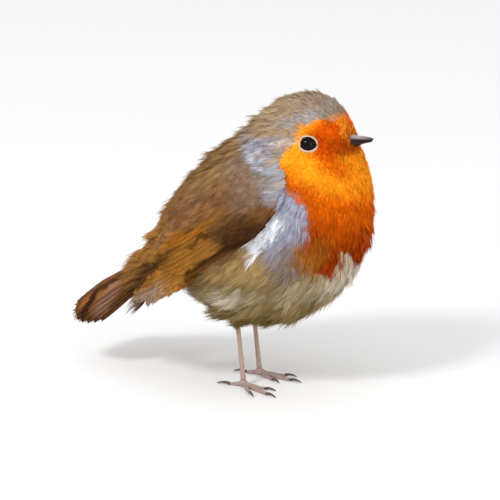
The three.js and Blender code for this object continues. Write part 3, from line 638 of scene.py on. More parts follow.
@made_once("node_groups", "Plumage markings")
def plumage_markings(name, colours):
    """Colours of the body's plumage from a place on it; the skin and every tuft of the coat read them."""
    web, given, result = new_group(
        name, {"Colour": "colour"}, ("Place", "vector"), ("Tone", "value", 0.5), ("Reach", "value", 0.5)
    )
    stance = web.stance(given["Place"])
    coarse, fine = web.ragged(stance, 0.35, 2.0, 4.5), web.ragged(stance, 1.3, 1.0, 2.5)
    stance = web.vector("ADD", web.vector("ADD", stance, coarse), fine)
    part = web.split(stance)
    x, z = part["X"], part["Z"]
    ways = (UP_THE_BACK, UP_THE_FLANK, UP_THE_BIB, UP_THE_BREAST)
    back, flank, bib, breast = [web.vector("DOT_PRODUCT", stance, way) for way in ways]

    # upper side from rump to crown, and under side from the dark low belly, painted shade on the underside, to
    # the buff flank
    upper = web.bands(back, colours, "rump", (18, 40, "mantle"), (56, 76, "nape"), (78, 90, "crown"))
    under = web.bands(z, colours, "belly_low_shade", (25, 34, "belly"), (43, 52, "flank"))
    under = web.patches(stance, colours, under, UNDER_PATCHES)

    # the back gives way to the belly along a line that falls towards the tail
    base = web.blend(web.step(flank, 44, 54), under, upper)
    base = web.patches(stance, colours, base, SIDE_PATCHES)

    # the orange: yellowish on the throat, dark at the foot of the breast, partly painted shade there, and
    # inside its three edges
    orange = web.bands(bib, colours, "orange_breast", (91.5, 98.5, "orange_throat"))
    orange = web.blend(web.step(breast, 79.6, 100.6, 1.0, 0.0), orange, colours.orange_low_shade)
    orange = web.patches(stance, colours, orange, ORANGE_PATCHES)
    front = web.math("SUBTRACT", x, web.curve(z, ORANGE_REAR))
    below = web.math("SUBTRACT", web.curve(x, ORANGE_TOP), z)
    above = web.math("SUBTRACT", z, web.curve(x, ORANGE_BOTTOM))
    mask = web.product(web.step(front, -1.2, 1.6), web.step(below, -0.8, 0.8), web.step(above, -2.2, 2.2))
    painted = web.patches(stance, colours, web.blend(mask, base, orange), LID_STREAK)

    # every tuft is a little lighter or darker than the next, and darker at its root than at its tip
    tone = web.math("MULTIPLY_ADD", given["Tone"], 0.3, 0.85)
    cloud = web.group(streaks(), Place=stance, Lie=DOWN_THE_COAT)["Mask"]
    cloud = web.math("MULTIPLY_ADD", cloud, 0.8, 0.6)
    root = web.math("MULTIPLY_ADD", given["Reach"], 0.2, 0.88)
    web.feed(result["Colour"], web.shaded(painted, tone, cloud, root))
    return web.tree


@made_once("node_groups", "Wing markings")
def wing_markings(name, colours):
    """Colours of the wing from a place on it, the same for its soft coverts and its flight feathers."""
    web, given, result = new_group(
        name, {"Colour": "colour"}, ("Place", "vector"), ("Along", "value", 0.5), ("Across", "value", 0.0),
        ("Tone", "value", 0.5),
    )
    stance = web.stance(given["Place"])
    warped = web.vector("ADD", stance, web.ragged(stance, 0.3, 2.0, 5.0))
    p, q, chart = web.chart(warped, WRIST, WING_ALONG, WING_ACROSS)

    # soft coverts: mauve upwards, greyer over the shoulder and grey in front of the wrist
    soft = web.bands(q, colours, "covert", (5, 13, "wing_mauve"), (14, 20, "mantle"))
    shoulder = web.product(web.step(p, 12, 4), web.step(q, 2.5, 7), 0.6)
    soft = web.blend(shoulder, soft, colours.shade_grey)
    front = web.bands(q, colours, "side_grey", (3, 9, "neck_grey"))
    front = web.blend(web.step(q, 6, 12, 0.0, 0.5), front, colours.shade_grey)
    soft = web.blend(web.step(p, 0.5, -3), soft, front)

    # flight feathers: ochre, mauve upwards and worn pale at the tips of the primaries
    flight = web.bands(q, colours, "wing_edge", (8.5, 12, "wing_mauve"))
    worn = web.product(web.step(p, 47, 60), web.step(q, 2.4, -0.6, 0.0, 0.8))
    flight = web.blend(worn, flight, colours.wing_tip)
    painted = web.patches(chart, colours, web.blend(web.step(p, 22, 30), soft, flight), WING_PATCHES)

    # painted shadow along the low edge of the wing, and the dark inner web of each feather
    low_edge_shadow = web.product(web.step(q, -0.4, -2.2), web.step(p, 1, 6), web.step(p, 46, 40), 0.8)
    inner_web = web.product(web.step(given["Across"], 0.1, 0.75), web.step(given["Along"], 0.02, 0.2), 0.8)
    for mask in (low_edge_shadow, inner_web):
        painted = web.blend(mask, painted, colours.wing_web_and_shadow)
    tone = web.math("MULTIPLY_ADD", given["Tone"], 0.36, 0.82)
    light = web.group(vane_streaks(), Place=stance, Lie=WING_ALONG)["Light"]
    web.feed(result["Colour"], web.shaded(painted, tone, light))
    return web.tree


def new_material(name, roughness, specular):
    """A material with one Principled shader, and its web."""
    material = bpy.data.materials.new(name)
    material.use_nodes = True
    shader = next(n for n in material.node_tree.nodes if n.type == "BSDF_PRINCIPLED").inputs
    shader["Roughness"].default_value = roughness
    shader["Specular IOR Level"].default_value = specular
    return material, Web(material.node_tree, shader)


@made_once("materials", "Coat")
def coat_material(name, colours):
    """Soft body plumage: each tuft reads the markings at its root."""
    material, web = new_material(name, roughness=0.85, specular=0.05)
    given = {"Place": web.attribute("root", "Vector"), "Tone": web.attribute("tone")}
    web.paint(web.group(plumage_markings(colours), Reach=web.attribute("reach"), **given)["Colour"])
    return material


@made_once("materials", "Skin down")
def skin_material(name, colours):
    """The skin under the coat carries the coat's markings, darker, as the down between feathers is."""
    material, web = new_material(name, roughness=0.9, specular=0.05)
    place = web.own_place()
    web.paint(web.group(plumage_markings(colours), Place=place, Tone=0.5, Reach=0.2)["Colour"])
    down = web.group(fine_grain(), Place=place, Scale=1400, Detail=3, Depth=0.0002)
    web.feed(web.shader["Normal"], down["Normal"])
    return material


@made_once("materials", "Wing feathers")
def wing_material(name, colours):
    """Firm and soft wing feathers."""
    material, web = new_material(name, roughness=0.7, specular=0.08)
    lie = web.split(web.attribute("lie", "Vector"))
    given = {"Place": web.attribute("root", "Vector"), "Tone": web.attribute("tone")}
    web.paint(web.group(wing_markings(colours), Along=lie["X"], Across=lie["Y"], **given)["Colour"])
    return material


@made_once("materials", "Tail feathers")
def tail_material(name, colours):
    """Rufous edged, dark webbed tail feathers."""
    material, web = new_material(name, roughness=0.7, specular=0.08)
    lie, tone = web.split(web.attribute("lie", "Vector")), web.attribute("tone")
    stance = web.stance(web.attribute("root", "Vector"))
    warped = web.vector("ADD", stance, web.ragged(stance, 0.3, 2.0, 3.0))
    _, q, chart = web.chart(warped, TAIL_ROOT, TAIL_ALONG, TAIL_ACROSS)
    painted = web.blend(tone, colours.tail_edge, colours.wing_mauve)
    painted = web.blend(web.step(q, -6, -10, 0.0, 0.6), painted, colours.tail_web_and_shade)
    painted = web.patches(chart, colours, painted, TAIL_PATCHES)
    for mask in (web.step(lie["Y"], 0.0, 0.8, 0.0, 0.55), web.step(lie["X"], 0.86, 1.0, 0.0, 0.8)):
        painted = web.blend(mask, painted, colours.tail_web_and_shade)
    shade = web.math("MULTIPLY_ADD", tone, 0.24, 0.88)
    light = web.group(vane_streaks(), Place=stance, Lie=TAIL_ALONG)["Light"]
    web.paint(web.shaded(painted, shade, light))
    return material


# -------------------------------------------------------------------------------------- mesh making


def select_only(*objects):
    """Makes these objects the whole selection, the first one active."""
    bpy.ops.object.select_all(action="DESELECT")
    for obj in objects:
        obj.select_set(True)
    bpy.context.view_layer.objects.active = objects[0]


@contextmanager
def editing(obj):
    """Edit mode with the whole of one mesh selected."""
    select_only(obj)
    bpy.ops.object.mode_set(mode="EDIT")
    bpy.ops.mesh.select_all(action="SELECT")
    yield
    bpy.ops.object.mode_set(mode="OBJECT")


def add_modifier(obj, kind, **settings):
    """Adds a modifier, applies it and so leaves the finished mesh."""
    select_only(obj)
    modifier = obj.modifiers.new(kind.title(), kind)
    for name, value in settings.items():
        setattr(modifier, name, value)
    bpy.ops.object.modifier_apply(modifier=modifier.name)


def add_primitive(name, add, **settings):
    """A named primitive at the origin, added with nothing else selected."""
    bpy.ops.object.select_all(action="DESELECT")
    add(location=(0, 0, 0), **settings)
    obj = bpy.context.object
    obj.name = name
    return obj


def copy_of_nodes(name, nodes):
    """One merged mesh copied from CAD nodes, as an object at the origin."""
    copies = []
    for node in nodes:
        copy = frame["nodes"][node].copy()
        copy.data = frame["nodes"][node].data.copy()
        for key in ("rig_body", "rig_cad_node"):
            if key in copy:
                del copy[key]
        copy.parent = None
        copy.hide_render = copy.hide_viewport = False
        bpy.context.scene.collection.objects.link(copy)
        copy.data.materials.clear()
        copies.append(copy)
    select_only(*copies)
    if len(copies) > 1:
        bpy.ops.object.join()
    obj = bpy.context.view_layer.objects.active
    obj.name = obj.data.name = name
    with editing(obj):
        bpy.ops.mesh.remove_doubles(threshold=WELD * MM)
    return obj


def remould(name, nodes, grain, grow=0.0, smooth=5):
    """A smooth closed shape over copies of CAD nodes, grown a little so that gaps close."""
    obj = copy_of_nodes(name, nodes)
    if grow:
        add_modifier(obj, "DISPLACE", strength=grow * MM, mid_level=0)
    add_modifier(obj, "REMESH", mode="VOXEL", voxel_size=grain * MM)
    add_modifier(obj, "SMOOTH", factor=0.5, iterations=smooth)
    bpy.ops.object.shade_smooth()
    return obj


def read_array(items, key, width=3, kind=float):
    """One property of all items of a mesh, with a row for each."""
    flat = np.empty(len(items) * width, np.float32 if kind is float else np.int32)
    items.foreach_get(key, flat)
    return flat.reshape(-1, width).astype(kind)


def read_mesh(mesh):
    """Points in stance millimetres, their normals, and the triangles."""
    mesh.calc_loop_triangles()
    points, normals = read_array(mesh.vertices, "co"), read_array(mesh.vertex_normals, "vector")
    return to_stance(points), normals, read_array(mesh.loop_triangles, "vertices", kind=int)


def float_row(array):
    """The numbers of an array in one row, as meshes take them."""
    return np.asarray(array).astype(np.float32).ravel()


def set_points(mesh, points):
    """Moves the points of a mesh to places in stance millimetres."""
    mesh.vertices.foreach_set("co", float_row(to_metres(points)))
    mesh.update()


def add_attribute(mesh, name, array):
    """Keeps a number or a vector with every point of a mesh."""
    wide = array.ndim == 2
    layer = mesh.attributes.new(name, "FLOAT_VECTOR" if wide else "FLOAT", "POINT")
    layer.data.foreach_set("vector" if wide else "value", float_row(array))


def mesh_object(name, points, triangles, normals, values, uv):
    """One object from arrays in stance millimetres, with named point attributes and the bake map."""
    mesh = bpy.data.meshes.new(name)
    mesh.vertices.add(len(points))
    mesh.vertices.foreach_set("co", float_row(to_metres(points)))
    mesh.loops.add(triangles.size)
    mesh.loops.foreach_set("vertex_index", triangles.astype(np.int32).ravel())
    mesh.polygons.add(len(triangles))
    mesh.polygons.foreach_set("loop_start", np.arange(0, triangles.size, 3, dtype=np.int32))
    mesh.update(calc_edges=True)
    for label, array in values.items():
        add_attribute(mesh, label, array)
    mesh.uv_layers.new(name="OFBake").data.foreach_set("uv", float_row(uv[triangles.ravel()]))
    mesh.shade_smooth()
    if normals is not None:
        mesh.normals_split_custom_set_from_vertices(unit(normals).tolist())
    obj = bpy.data.objects.new(name, mesh)
    bpy.context.scene.collection.objects.link(obj)
    return obj


def finish_piece(obj, material, slot, *nodes):
    """Takes its material, rides on the model and stands for the CAD nodes named; slot is not used."""
    obj.data.materials.append(material)
    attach(obj, BODY)
    if nodes:
        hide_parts(*nodes)


def unwrap_halves(obj):
    """Unwraps a closed shape as its two sides, parted at the middle plane."""
    with editing(obj):
        bpy.ops.mesh.bisect(plane_co=(0, 0, 0), plane_no=(0, 1, 0))
        bpy.ops.mesh.mark_seam()
        bpy.ops.mesh.select_all(action="SELECT")
        bpy.ops.uv.unwrap(method="ANGLE_BASED", margin=0.02)
    obj.data.uv_layers[0].name = "OFBake"


def pillow(name, shape, material, slot, *nodes):
    """A closed pad: shape turns shares along, across and up, and the bulge there, into places."""
    add = bpy.ops.mesh.primitive_uv_sphere_add
    pad = add_primitive(name, add, segments=32, ring_count=40, radius=1, rotation=(0, math.pi / 2, 0))
    bpy.ops.object.transform_apply(location=False, rotation=True, scale=False)
    along, across, up = read_array(pad.data.vertices, "co").T
    bulge = np.sqrt(np.maximum(1 - along**2, 0))
    share = across / np.maximum(bulge, 1e-6) * (bulge > 1e-4)
    points = shape((along + 1) / 2, share, up, bulge)
    set_points(pad.data, points)
    with editing(pad):
        bpy.ops.mesh.normals_make_consistent(inside=False)
    bpy.ops.object.shade_smooth()
    add_attribute(pad.data, "root", to_metres(points))
    with editing(pad):
        bpy.ops.uv.smart_project(island_margin=0.002)
    pad.data.uv_layers[0].name = "OFBake"
    finish_piece(pad, material, slot, *nodes)


class Surface:
    """A closed mesh in stance millimetres that points can be laid onto."""

    def __init__(self, obj):
        self.points, self.normals, self.triangles = read_mesh(obj.data)
        self.tree = BVHTree.FromPolygons(self.points.tolist(), self.triangles.tolist())

    def nearest(self, points):
        """Nearest places on the surface and the smooth normals there."""
        hits = [self.tree.find_nearest(point) for point in points.tolist()]
        places = np.array([hit[0][:] for hit in hits])
        corners = self.triangles[[hit[2] for hit in hits]]
        away = np.linalg.norm(self.points[corners] - places[:, None], axis=2)
        weights = 1 / np.maximum(away, 1e-3)
        return places, unit((self.normals[corners] * weights[..., None]).sum(1))

    def half_widths(self):
        """A function that gives the half width of the body at any place of its side view."""
        (rear, front), (low, high), step, outside = SIDE_VIEW
        xs, zs = np.arange(rear, front, step), np.arange(low, high, step)
        table = np.zeros((len(xs), len(zs)))
        for i, x in enumerate(xs):
            for j, z in enumerate(zs):
                hit = self.tree.ray_cast((x, outside, z), (0, 1, 0))[0]
                table[i, j] = max(-hit[1] - SHELL_GROWTH, 0) if hit else 0

        def half_width(x, z):
            u = np.clip((x - xs[0]) / step, 0, len(xs) - 1.001)
            v = np.clip((z - zs[0]) / step, 0, len(zs) - 1.001)
            i, j = u.astype(int), v.astype(int)
            u, v = u - i, v - j
            low = table[i, j] * (1 - u) + table[i + 1, j] * u
            high = table[i, j + 1] * (1 - u) + table[i + 1, j + 1] * u
            return low * (1 - v) + high * v

        return half_width


@lru_cache(maxsize=1)
def body_shell():
    """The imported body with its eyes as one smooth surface."""
    shell = remould("shell", FLESH + EYES, grain=1.2, grow=SHELL_GROWTH, smooth=2)
    surface = Surface(shell)
    bpy.data.objects.remove(shell)
    return surface


# ------------------------------------------------------------------------------------ lie and tufts


def coat_lie(points):
    """How the coat lies at each place: its direction, and tuft length, depth, tuft half width and stand."""
    places, lies, reaches = [np.array([row[column] for row in COAT], float) for column in (1, 2, 7)]
    sizes = np.array([row[3:7] for row in COAT], float)
    folded = np.column_stack([points[:, 0], np.abs(points[:, 1]), points[:, 2]])
    away = np.linalg.norm(folded[:, None] - places[None], axis=2)
    weights = (reaches / np.maximum(away, 0.5)) ** 4
    weights /= weights.sum(1, keepdims=True)
    lie = weights @ lies
    lie[:, 1] *= np.where(points[:, 1] < 0, -1.0, 1.0)
    return lie, weights @ sizes


def middle_of(node):
    """Middle of a CAD node's box in stance millimetres."""
    return to_stance(np.mean(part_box(node), axis=0))


def near_eye(points):
    """Distance to the nearer eye's centre."""
    return np.minimum(*(np.linalg.norm(points - middle_of(eye), axis=1) for eye in EYES))


def clear_of_eye(points):
    """0 at the rim of an eye and 1 where the coat has its full size."""
    return smooth_step(near_eye(points), EYE_CLEAR - 0.5, EYE_CLEAR + EYE_FADE)


def coat_depth(points):
    """Depth of the coat, thin round the eyes."""
    return EYE_COAT + (coat_lie(points)[1][:, 1] - EYE_COAT) * clear_of_eye(points)


def clumps(points):
    """0 between and 1 on the groups in which the loose feathers of the back lie together."""
    x, y, z = points.T
    waves = np.sin(0.75 * x + 1.7 * np.sin(0.4 * z + 0.2 * y)) * np.cos(0.7 * z + 0.35 * y)
    return smooth_step(waves, -0.3, 0.7)


def rounding(points):
    """How much further in the skin lies at the corners of the crown, so that the head rounds off."""
    x, y, z = points.T
    corner = smooth_step(np.abs(y), 4, 10.5) * smooth_step(np.abs(y), 18, 14.5) * smooth_step(z, 93, 99)
    brow = smooth_step(x, 27, 33) * smooth_step(z, 96, 100)
    return 1.1 * corner * smooth_step(x, 4, 14) + 0.3 * brow


def scatter(mesh, rng, share_of):
    """Roots spread over a mesh, share_of(place) to the square millimetre, with normals and map places."""
    points, normals, triangles = read_mesh(mesh)
    corners = points[triangles]
    area = np.linalg.norm(np.cross(corners[:, 1] - corners[:, 0], corners[:, 2] - corners[:, 0]), axis=1) / 2
    wanted = area * share_of(corners.mean(1))
    total = np.floor(np.cumsum(wanted) + rng.uniform()).astype(int)
    pick = np.repeat(np.arange(len(triangles)), np.diff(total, prepend=0))
    a, b = rng.uniform(size=(2, len(pick)))
    over = a + b > 1
    a[over], b[over] = 1 - a[over], 1 - b[over]
    weights = np.stack([1 - a - b, a, b], 1)[..., None]
    loops = read_array(mesh.loop_triangles, "loops", kind=int)[pick]
    uv = read_array(mesh.uv_layers[0].data, "uv", 2)[loops]
    roots, ups, uv = [(array * weights).sum(1) for array in (corners[pick], normals[triangles[pick]], uv)]
    return roots, unit(ups), uv


def square_to(axes, vectors):
    """The vectors turned square to their axes, with length one."""
    return unit(vectors - (vectors * axes).sum(-1, keepdims=True) * axes)


def tuft_frames(places, ups):
    """The middle lines of tufts with the directions up from them and along them."""
    tangents = unit(np.gradient(places, axis=1))
    return places, square_to(tangents, ups), tangents


def follow(surface, roots, normals, lengths, heights, swing):
    """The middle line of each tuft: it follows the lie over the surface and rises through the coat."""
    places, ups = [roots], [normals]
    here, up = roots, normals
    last = SECTIONS - 1
    for step in range(1, SECTIONS):
        lie = square_to(up, coat_lie(here)[0])
        lie = unit(lie * np.cos(swing)[:, None] + np.cross(up, lie) * np.sin(swing)[:, None])
        here, up = surface.nearest(here + lie * (lengths / last)[:, None])
        places.append(here + up * (heights * (step / last) ** 0.75)[:, None])
        ups.append(up)
    return tuft_frames(np.stack(places, 1), np.stack(ups, 1))


def chart_lines(p, q, turn, lengths, low, high, power):
    """Along, across and height on a chart for the middle lines of tufts, steepest at their roots."""
    t = np.linspace(0, 1, SECTIONS)
    p, q, turn, lengths, low, high = [array[:, None] for array in (p, q, turn, lengths, low, high)]
    return p + np.cos(turn) * lengths * t, q + np.sin(turn) * lengths * t, low + (high - low) * t**power


def barb_triangles(count):
    """Faces of that many barbs, each with two points at every section and one at its tip."""
    return (np.arange(count)[:, None, None] * len(BARB_STATIONS) + BARB_FACES).reshape(-1, 3)


def barbs(lines, rng, look, half, width, lift):
    """Fans of thin barbs along the middle lines of many tufts.

    lines holds places, normals and tangents, each tufts x sections x 3. Returns points, triangles, normals
    and, for each point, its tuft, its share of the way to the tip and its share across.
    """
    tufts, count = len(half), look["barbs"]
    half, lift = half[:, None, None], lift[:, None, None]
    spread = np.linspace(-1, 1, count) + rng.uniform(-0.6, 0.6, (tufts, count)) / count
    end = 1 - SIDES_SHORTER * np.abs(spread) ** 1.7 + rng.uniform(-0.14, 0.1, (tufts, count))
    begin = rng.uniform(0.0, 0.3, (tufts, count))
    t = np.linspace(0, 1, SECTIONS)
    far = begin[..., None] + (end - begin)[..., None] * t
    across = spread[..., None] * (FAN_AT_ROOT + (1 - FAN_AT_ROOT) * t**0.7) * half
    across = across + rng.normal(0, look["loose"], (tufts, count, 1)) * half * t**2
    rise = rng.normal(0, 1, (tufts, count, 1)) * lift * t**2
    dome = -TUFT_DOME * across**2 / np.maximum(half, 0.1)
    taper = np.interp(t, *zip(*BARB_TAPER))

    station = far * (SECTIONS - 1)
    low = np.clip(station, 0, SECTIONS - 1.001).astype(int)
    share = (station - low)[..., None]
    tuft = np.arange(tufts)[:, None, None]
    middle, up, ahead = [array[tuft, low] * (1 - share) + array[tuft, low + 1] * share for array in lines]
    up, ahead = unit(up), unit(ahead)
    side = unit(np.cross(up, ahead))
    centre = middle + side * across[..., None] + up * (rise + dome)[..., None]
    strip = side * (width / 2 * taper)[:, None]
    points = np.stack([centre - strip, centre + strip], 3).reshape(tufts, count, -1, 3)
    points = points[:, :, :len(BARB_STATIONS)]
    lean = BARB_LEAN * (spread[..., None, None] + rng.normal(0, LEAN_STRAY, (tufts, count, 1, 1)))
    turned = (up + side * lean)[:, :, BARB_STATIONS]
    reach, wide = far[:, :, BARB_STATIONS], (across / half)[:, :, BARB_STATIONS]
    owner = np.broadcast_to(tuft, reach.shape)
    faces = barb_triangles(tufts * count)
    return points.reshape(-1, 3), faces, turned.reshape(-1, 3), owner.ravel(), reach.ravel(), wide.ravel()


def coat_pieces(name, rng, tufts, look, plumage, material, slot):
    """Builds tufts along their middle lines and splits them into pieces under the limit on triangles.

    tufts holds for each tuft the places, normals and tangents of its line, its root, its place on the bake
    map, its half width and how far single barbs lift.
    """
    order = np.argsort(tufts[3][:, 0], kind="stable")
    triangles = len(order) * look["barbs"] * len(BARB_FACES)
    chunks = np.array_split(order, max(1, math.ceil(triangles / PIECE_TRIANGLES)))
    for i, chunk in enumerate(chunks):
        *lines, roots, uv, halves, lifts = [array[chunk] for array in tufts]
        width = plumage.barb_width / MM * look["wider"]
        points, triangles, normals, owner, reach, wide = barbs(lines, rng, look, halves, width, lifts)
        tone = rng.uniform(size=len(chunk))[owner]
        reach, wide = np.clip(reach, 0, 1), np.clip(wide, -1, 1)
        lie = np.stack([reach, 0 * wide, tone], 1)
        values = {"root": to_metres(roots)[owner], "tone": tone, "reach": reach, "lie": lie}
        patch = uv[owner] + TUFT_PATCH / 2 * np.stack([wide, reach * 2 - 1], 1)
        label = name if len(chunks) == 1 else f"{name}_{i + 1}"
        finish_piece(mesh_object(label, points, triangles, normals, values, patch), material, slot)


# ------------------------------------------------------------------------------ charts and feathers


def wing_place(points):
    """Along and across the wing chart for places seen from the side."""
    return (points - WRIST) @ WING_ALONG, (points - WRIST) @ WING_ACROSS


def wing_chart(side, half_width):
    """Places on the folded wing from along, across and height over it."""

    def place(p, q, n):
        x, z = [WRIST[axis] + WING_ALONG[axis] * p + WING_ACROSS[axis] * q for axis in (0, 2)]
        dome = 1 - ((p - WING_DOME["along"]) / WING_DOME["half_length"]) ** 2
        dome = dome - ((q - WING_DOME["across"]) / WING_DOME["half_width"]) ** 2
        dome = WING_DOME["height"] * np.sqrt(np.maximum(dome, 0.05))
        body = half_width(x, z)
        out = np.maximum(dome, np.where(body > 0.5, body + WING_CLEAR, 0))
        return np.stack([x, side * (out + n), z], -1)

    return place


def tail_chart(p, q, n):
    """Places on the tail from along it, across it and height over it."""
    p, q, n = [array[..., None] for array in np.broadcast_arrays(p, q, n)]
    return TAIL_ROOT + TAIL_ALONG * p + TAIL_ACROSS * q + TAIL_LIFT * (n - TAIL_ROOF * np.sqrt(q**2 + 1))


def merged(parts):
    """One set of points, triangles and lies from many."""
    points, triangles, lies = zip(*parts)
    starts = np.cumsum([0] + [len(array) for array in points[:-1]])
    triangles = [array + start for array, start in zip(triangles, starts)]
    return np.concatenate(points), np.concatenate(triangles), np.concatenate(lies)


def feather(place, rng, root, tip, half, rise, roll, outline, turn=1):
    """One firm feather: a thin closed blade under a shaft and two rows of barbs whose tips fray.

    root and tip lie on the chart of place, and turn is -1 where that chart is mirrored. Returns points,
    triangles and for each point its share along and across.
    """
    root, tip = np.array(root, float), np.array(tip, float)
    length = np.linalg.norm(tip - root)
    ahead = (tip - root) / length
    beside = np.array([-ahead[1], ahead[0]])
    tilt = math.tan(math.radians(roll))
    shares, widths = zip(*outline)
    parts = []

    def at(t, across, lift):
        """Place at the share t along the shaft, across in millimetres and lifted from the vane."""
        flat = root + ahead * (t * length)[..., None] + beside * across[..., None]
        n = rise[0] + (rise[1] - rise[0]) * np.minimum(t * 1.4, 1)
        bow = VANE_BOW * (1 - np.minimum(np.abs(across) / half, 1) ** 2)
        return place(flat[..., 0], flat[..., 1], n - tilt * across + bow + lift)

    def keep(points, triangles, lies, hand=1):
        triangles = np.asarray(triangles)[:, ::-1 if hand * turn < 0 else 1]
        parts.append((points.reshape(-1, 3), triangles, lies.reshape(-1, 2)))

    # the blade: an upper and a lower sheet, closed all round
    t = np.linspace(0, BLADE_LONG, BLADE_ROWS)[:, None]
    across = np.interp(t, shares, widths) * half * np.linspace(-1, 1, 5) * BLADE_WIDE
    t = np.broadcast_to(t, across.shape)
    lie = np.stack([t, across / half], -1)
    number = np.arange(across.size).reshape(across.shape)
    corners = number[:-1, :-1], number[:-1, 1:], number[1:, 1:], number[1:, :-1]
    top = np.stack(corners, -1).reshape(-1, 4)
    ring = np.concatenate([number[0, :], number[1:, -1], number[-1, -2::-1], number[-2:0:-1, 0]])
    following = np.roll(ring, -1)
    rim = np.stack([following, ring, ring + across.size, following + across.size], -1)
    quads = np.concatenate([top, top[:, ::-1] + across.size, rim])
    faces = np.concatenate([quads[:, [0, 1, 2]], quads[:, [0, 2, 3]]])
    keep(np.stack([at(t, across, 0), at(t, across, -BLADE_THICK)]), faces, np.stack([lie, lie]))

    # barbs on both sides
    count = max(int(length / BARB_STEP), 4)
    u = np.array([0, 0.4, 0.75, 1])
    thick = np.array([0.8, 1, 0.75, 0]) * BARB_STEP * 0.95
    for hand in (-1, 1):
        start = (np.arange(count) + rng.uniform(0, 0.5, count)) / count * 0.985
        wide = np.interp(np.minimum(start + 0.8 * half / length, 1), shares, widths) * half
        fray = np.interp(start, np.linspace(0, 1, 9), rng.normal(0, 0.5, 9)) + rng.normal(0, 0.12, count)
        run = BARB_SLANT * wide * (1 + 0.25 * fray)
        wide = wide * (1 + rng.normal(0, 0.05, count))
        side = hand * wide[:, None] * np.sin(u * math.pi / 2) ** 0.9
        far = start[:, None] + (run[:, None] * u**1.25) / length
        lift = 0.05 + rng.uniform(0, 0.07, (count, 1)) * u
        edges = [at(np.clip(far + way * thick / 2 / length, 0, 1.03), side, lift) for way in (-1, 1)]
        points = np.stack(edges, 2).reshape(count, -1, 3)[:, :len(BARB_STATIONS)]
        keep(points, barb_triangles(count), np.stack([far, side / half], -1)[:, BARB_STATIONS], hand)

    # the shaft: a three sided tapering ridge
    t = np.linspace(0, SHAFT_LONG, SHAFT_ROWS)
    radius, foot = SHAFT_RADIUS * (1 - SHAFT_TAPER * t), SHAFT_LIFT
    ridge = np.stack([at(t, -radius, foot), at(t, 0 * t, foot + radius * 1.2), at(t, radius, foot)], 1)
    last = 3 * (len(t) - 1)
    faces = [
        face
        for a in range(0, last, 3) for k, j in ((0, 1), (1, 2), (2, 0))
        for face in ((a + k, a + j, a + 3 + j), (a + k, a + 3 + j, a + 3 + k))
    ]
    faces += [(0, 2, 1), (last, last + 1, last + 2)]
    keep(ridge, faces, np.repeat(np.stack([t, 0 * t + 0.55], -1), 3, axis=0))
    return merged(parts)


def along_line(points, count):
    """Points spread evenly along a line through the given ones."""
    points = np.array(points, float)
    at = np.linspace(0, len(points) - 1, count)
    return np.stack([np.interp(at, np.arange(len(points)), column) for column in points.T], 1)


def join_feathers(name, feathers, rng, material, slot):
    """One piece from many feathers, each with its own tone and its own cell of the bake map."""
    points, triangles, lies = merged(feathers)
    owner = np.repeat(np.arange(len(feathers)), [len(part[0]) for part in feathers])
    tone = rng.uniform(size=len(feathers))[owner]
    columns = math.ceil(math.sqrt(len(feathers)))
    cell = np.stack([owner % columns, owner // columns], 1) / columns
    reach, across = np.clip(lies[:, 0], 0, 1), np.clip(lies[:, 1] / 2 + 0.5, 0, 1)
    uv = cell + (0.05 + 0.9 * np.stack([across, reach], 1)) / columns
    values = {"root": to_metres(points), "tone": tone, "reach": reach, "lie": np.column_stack([lies, tone])}
    finish_piece(mesh_object(name, points, triangles, None, values, uv), material, slot)


# ---------------------------------------------------------------------------------------- operators


class ROBIN_OT_skin(bpy.types.Operator):
    """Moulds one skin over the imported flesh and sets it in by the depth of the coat"""

    bl_idname = "robin.skin"
    bl_label = "Skin"

    def execute(self, context):
        skin = remould("skin", FLESH + EYES, grain=0.9, grow=SHELL_GROWTH, smooth=6)
        unwrap_halves(skin)
        points, normals, _ = read_mesh(skin.data)
        depth = SHELL_GROWTH + coat_depth(points) + rounding(points)
        set_points(skin.data, points - normals * depth[:, None])
        add_modifier(skin, "SMOOTH", factor=0.5, iterations=3)
        finish_piece(skin, skin_material(context.scene.robin_colours), "under_plumage", *FLESH)
        return {"FINISHED"}


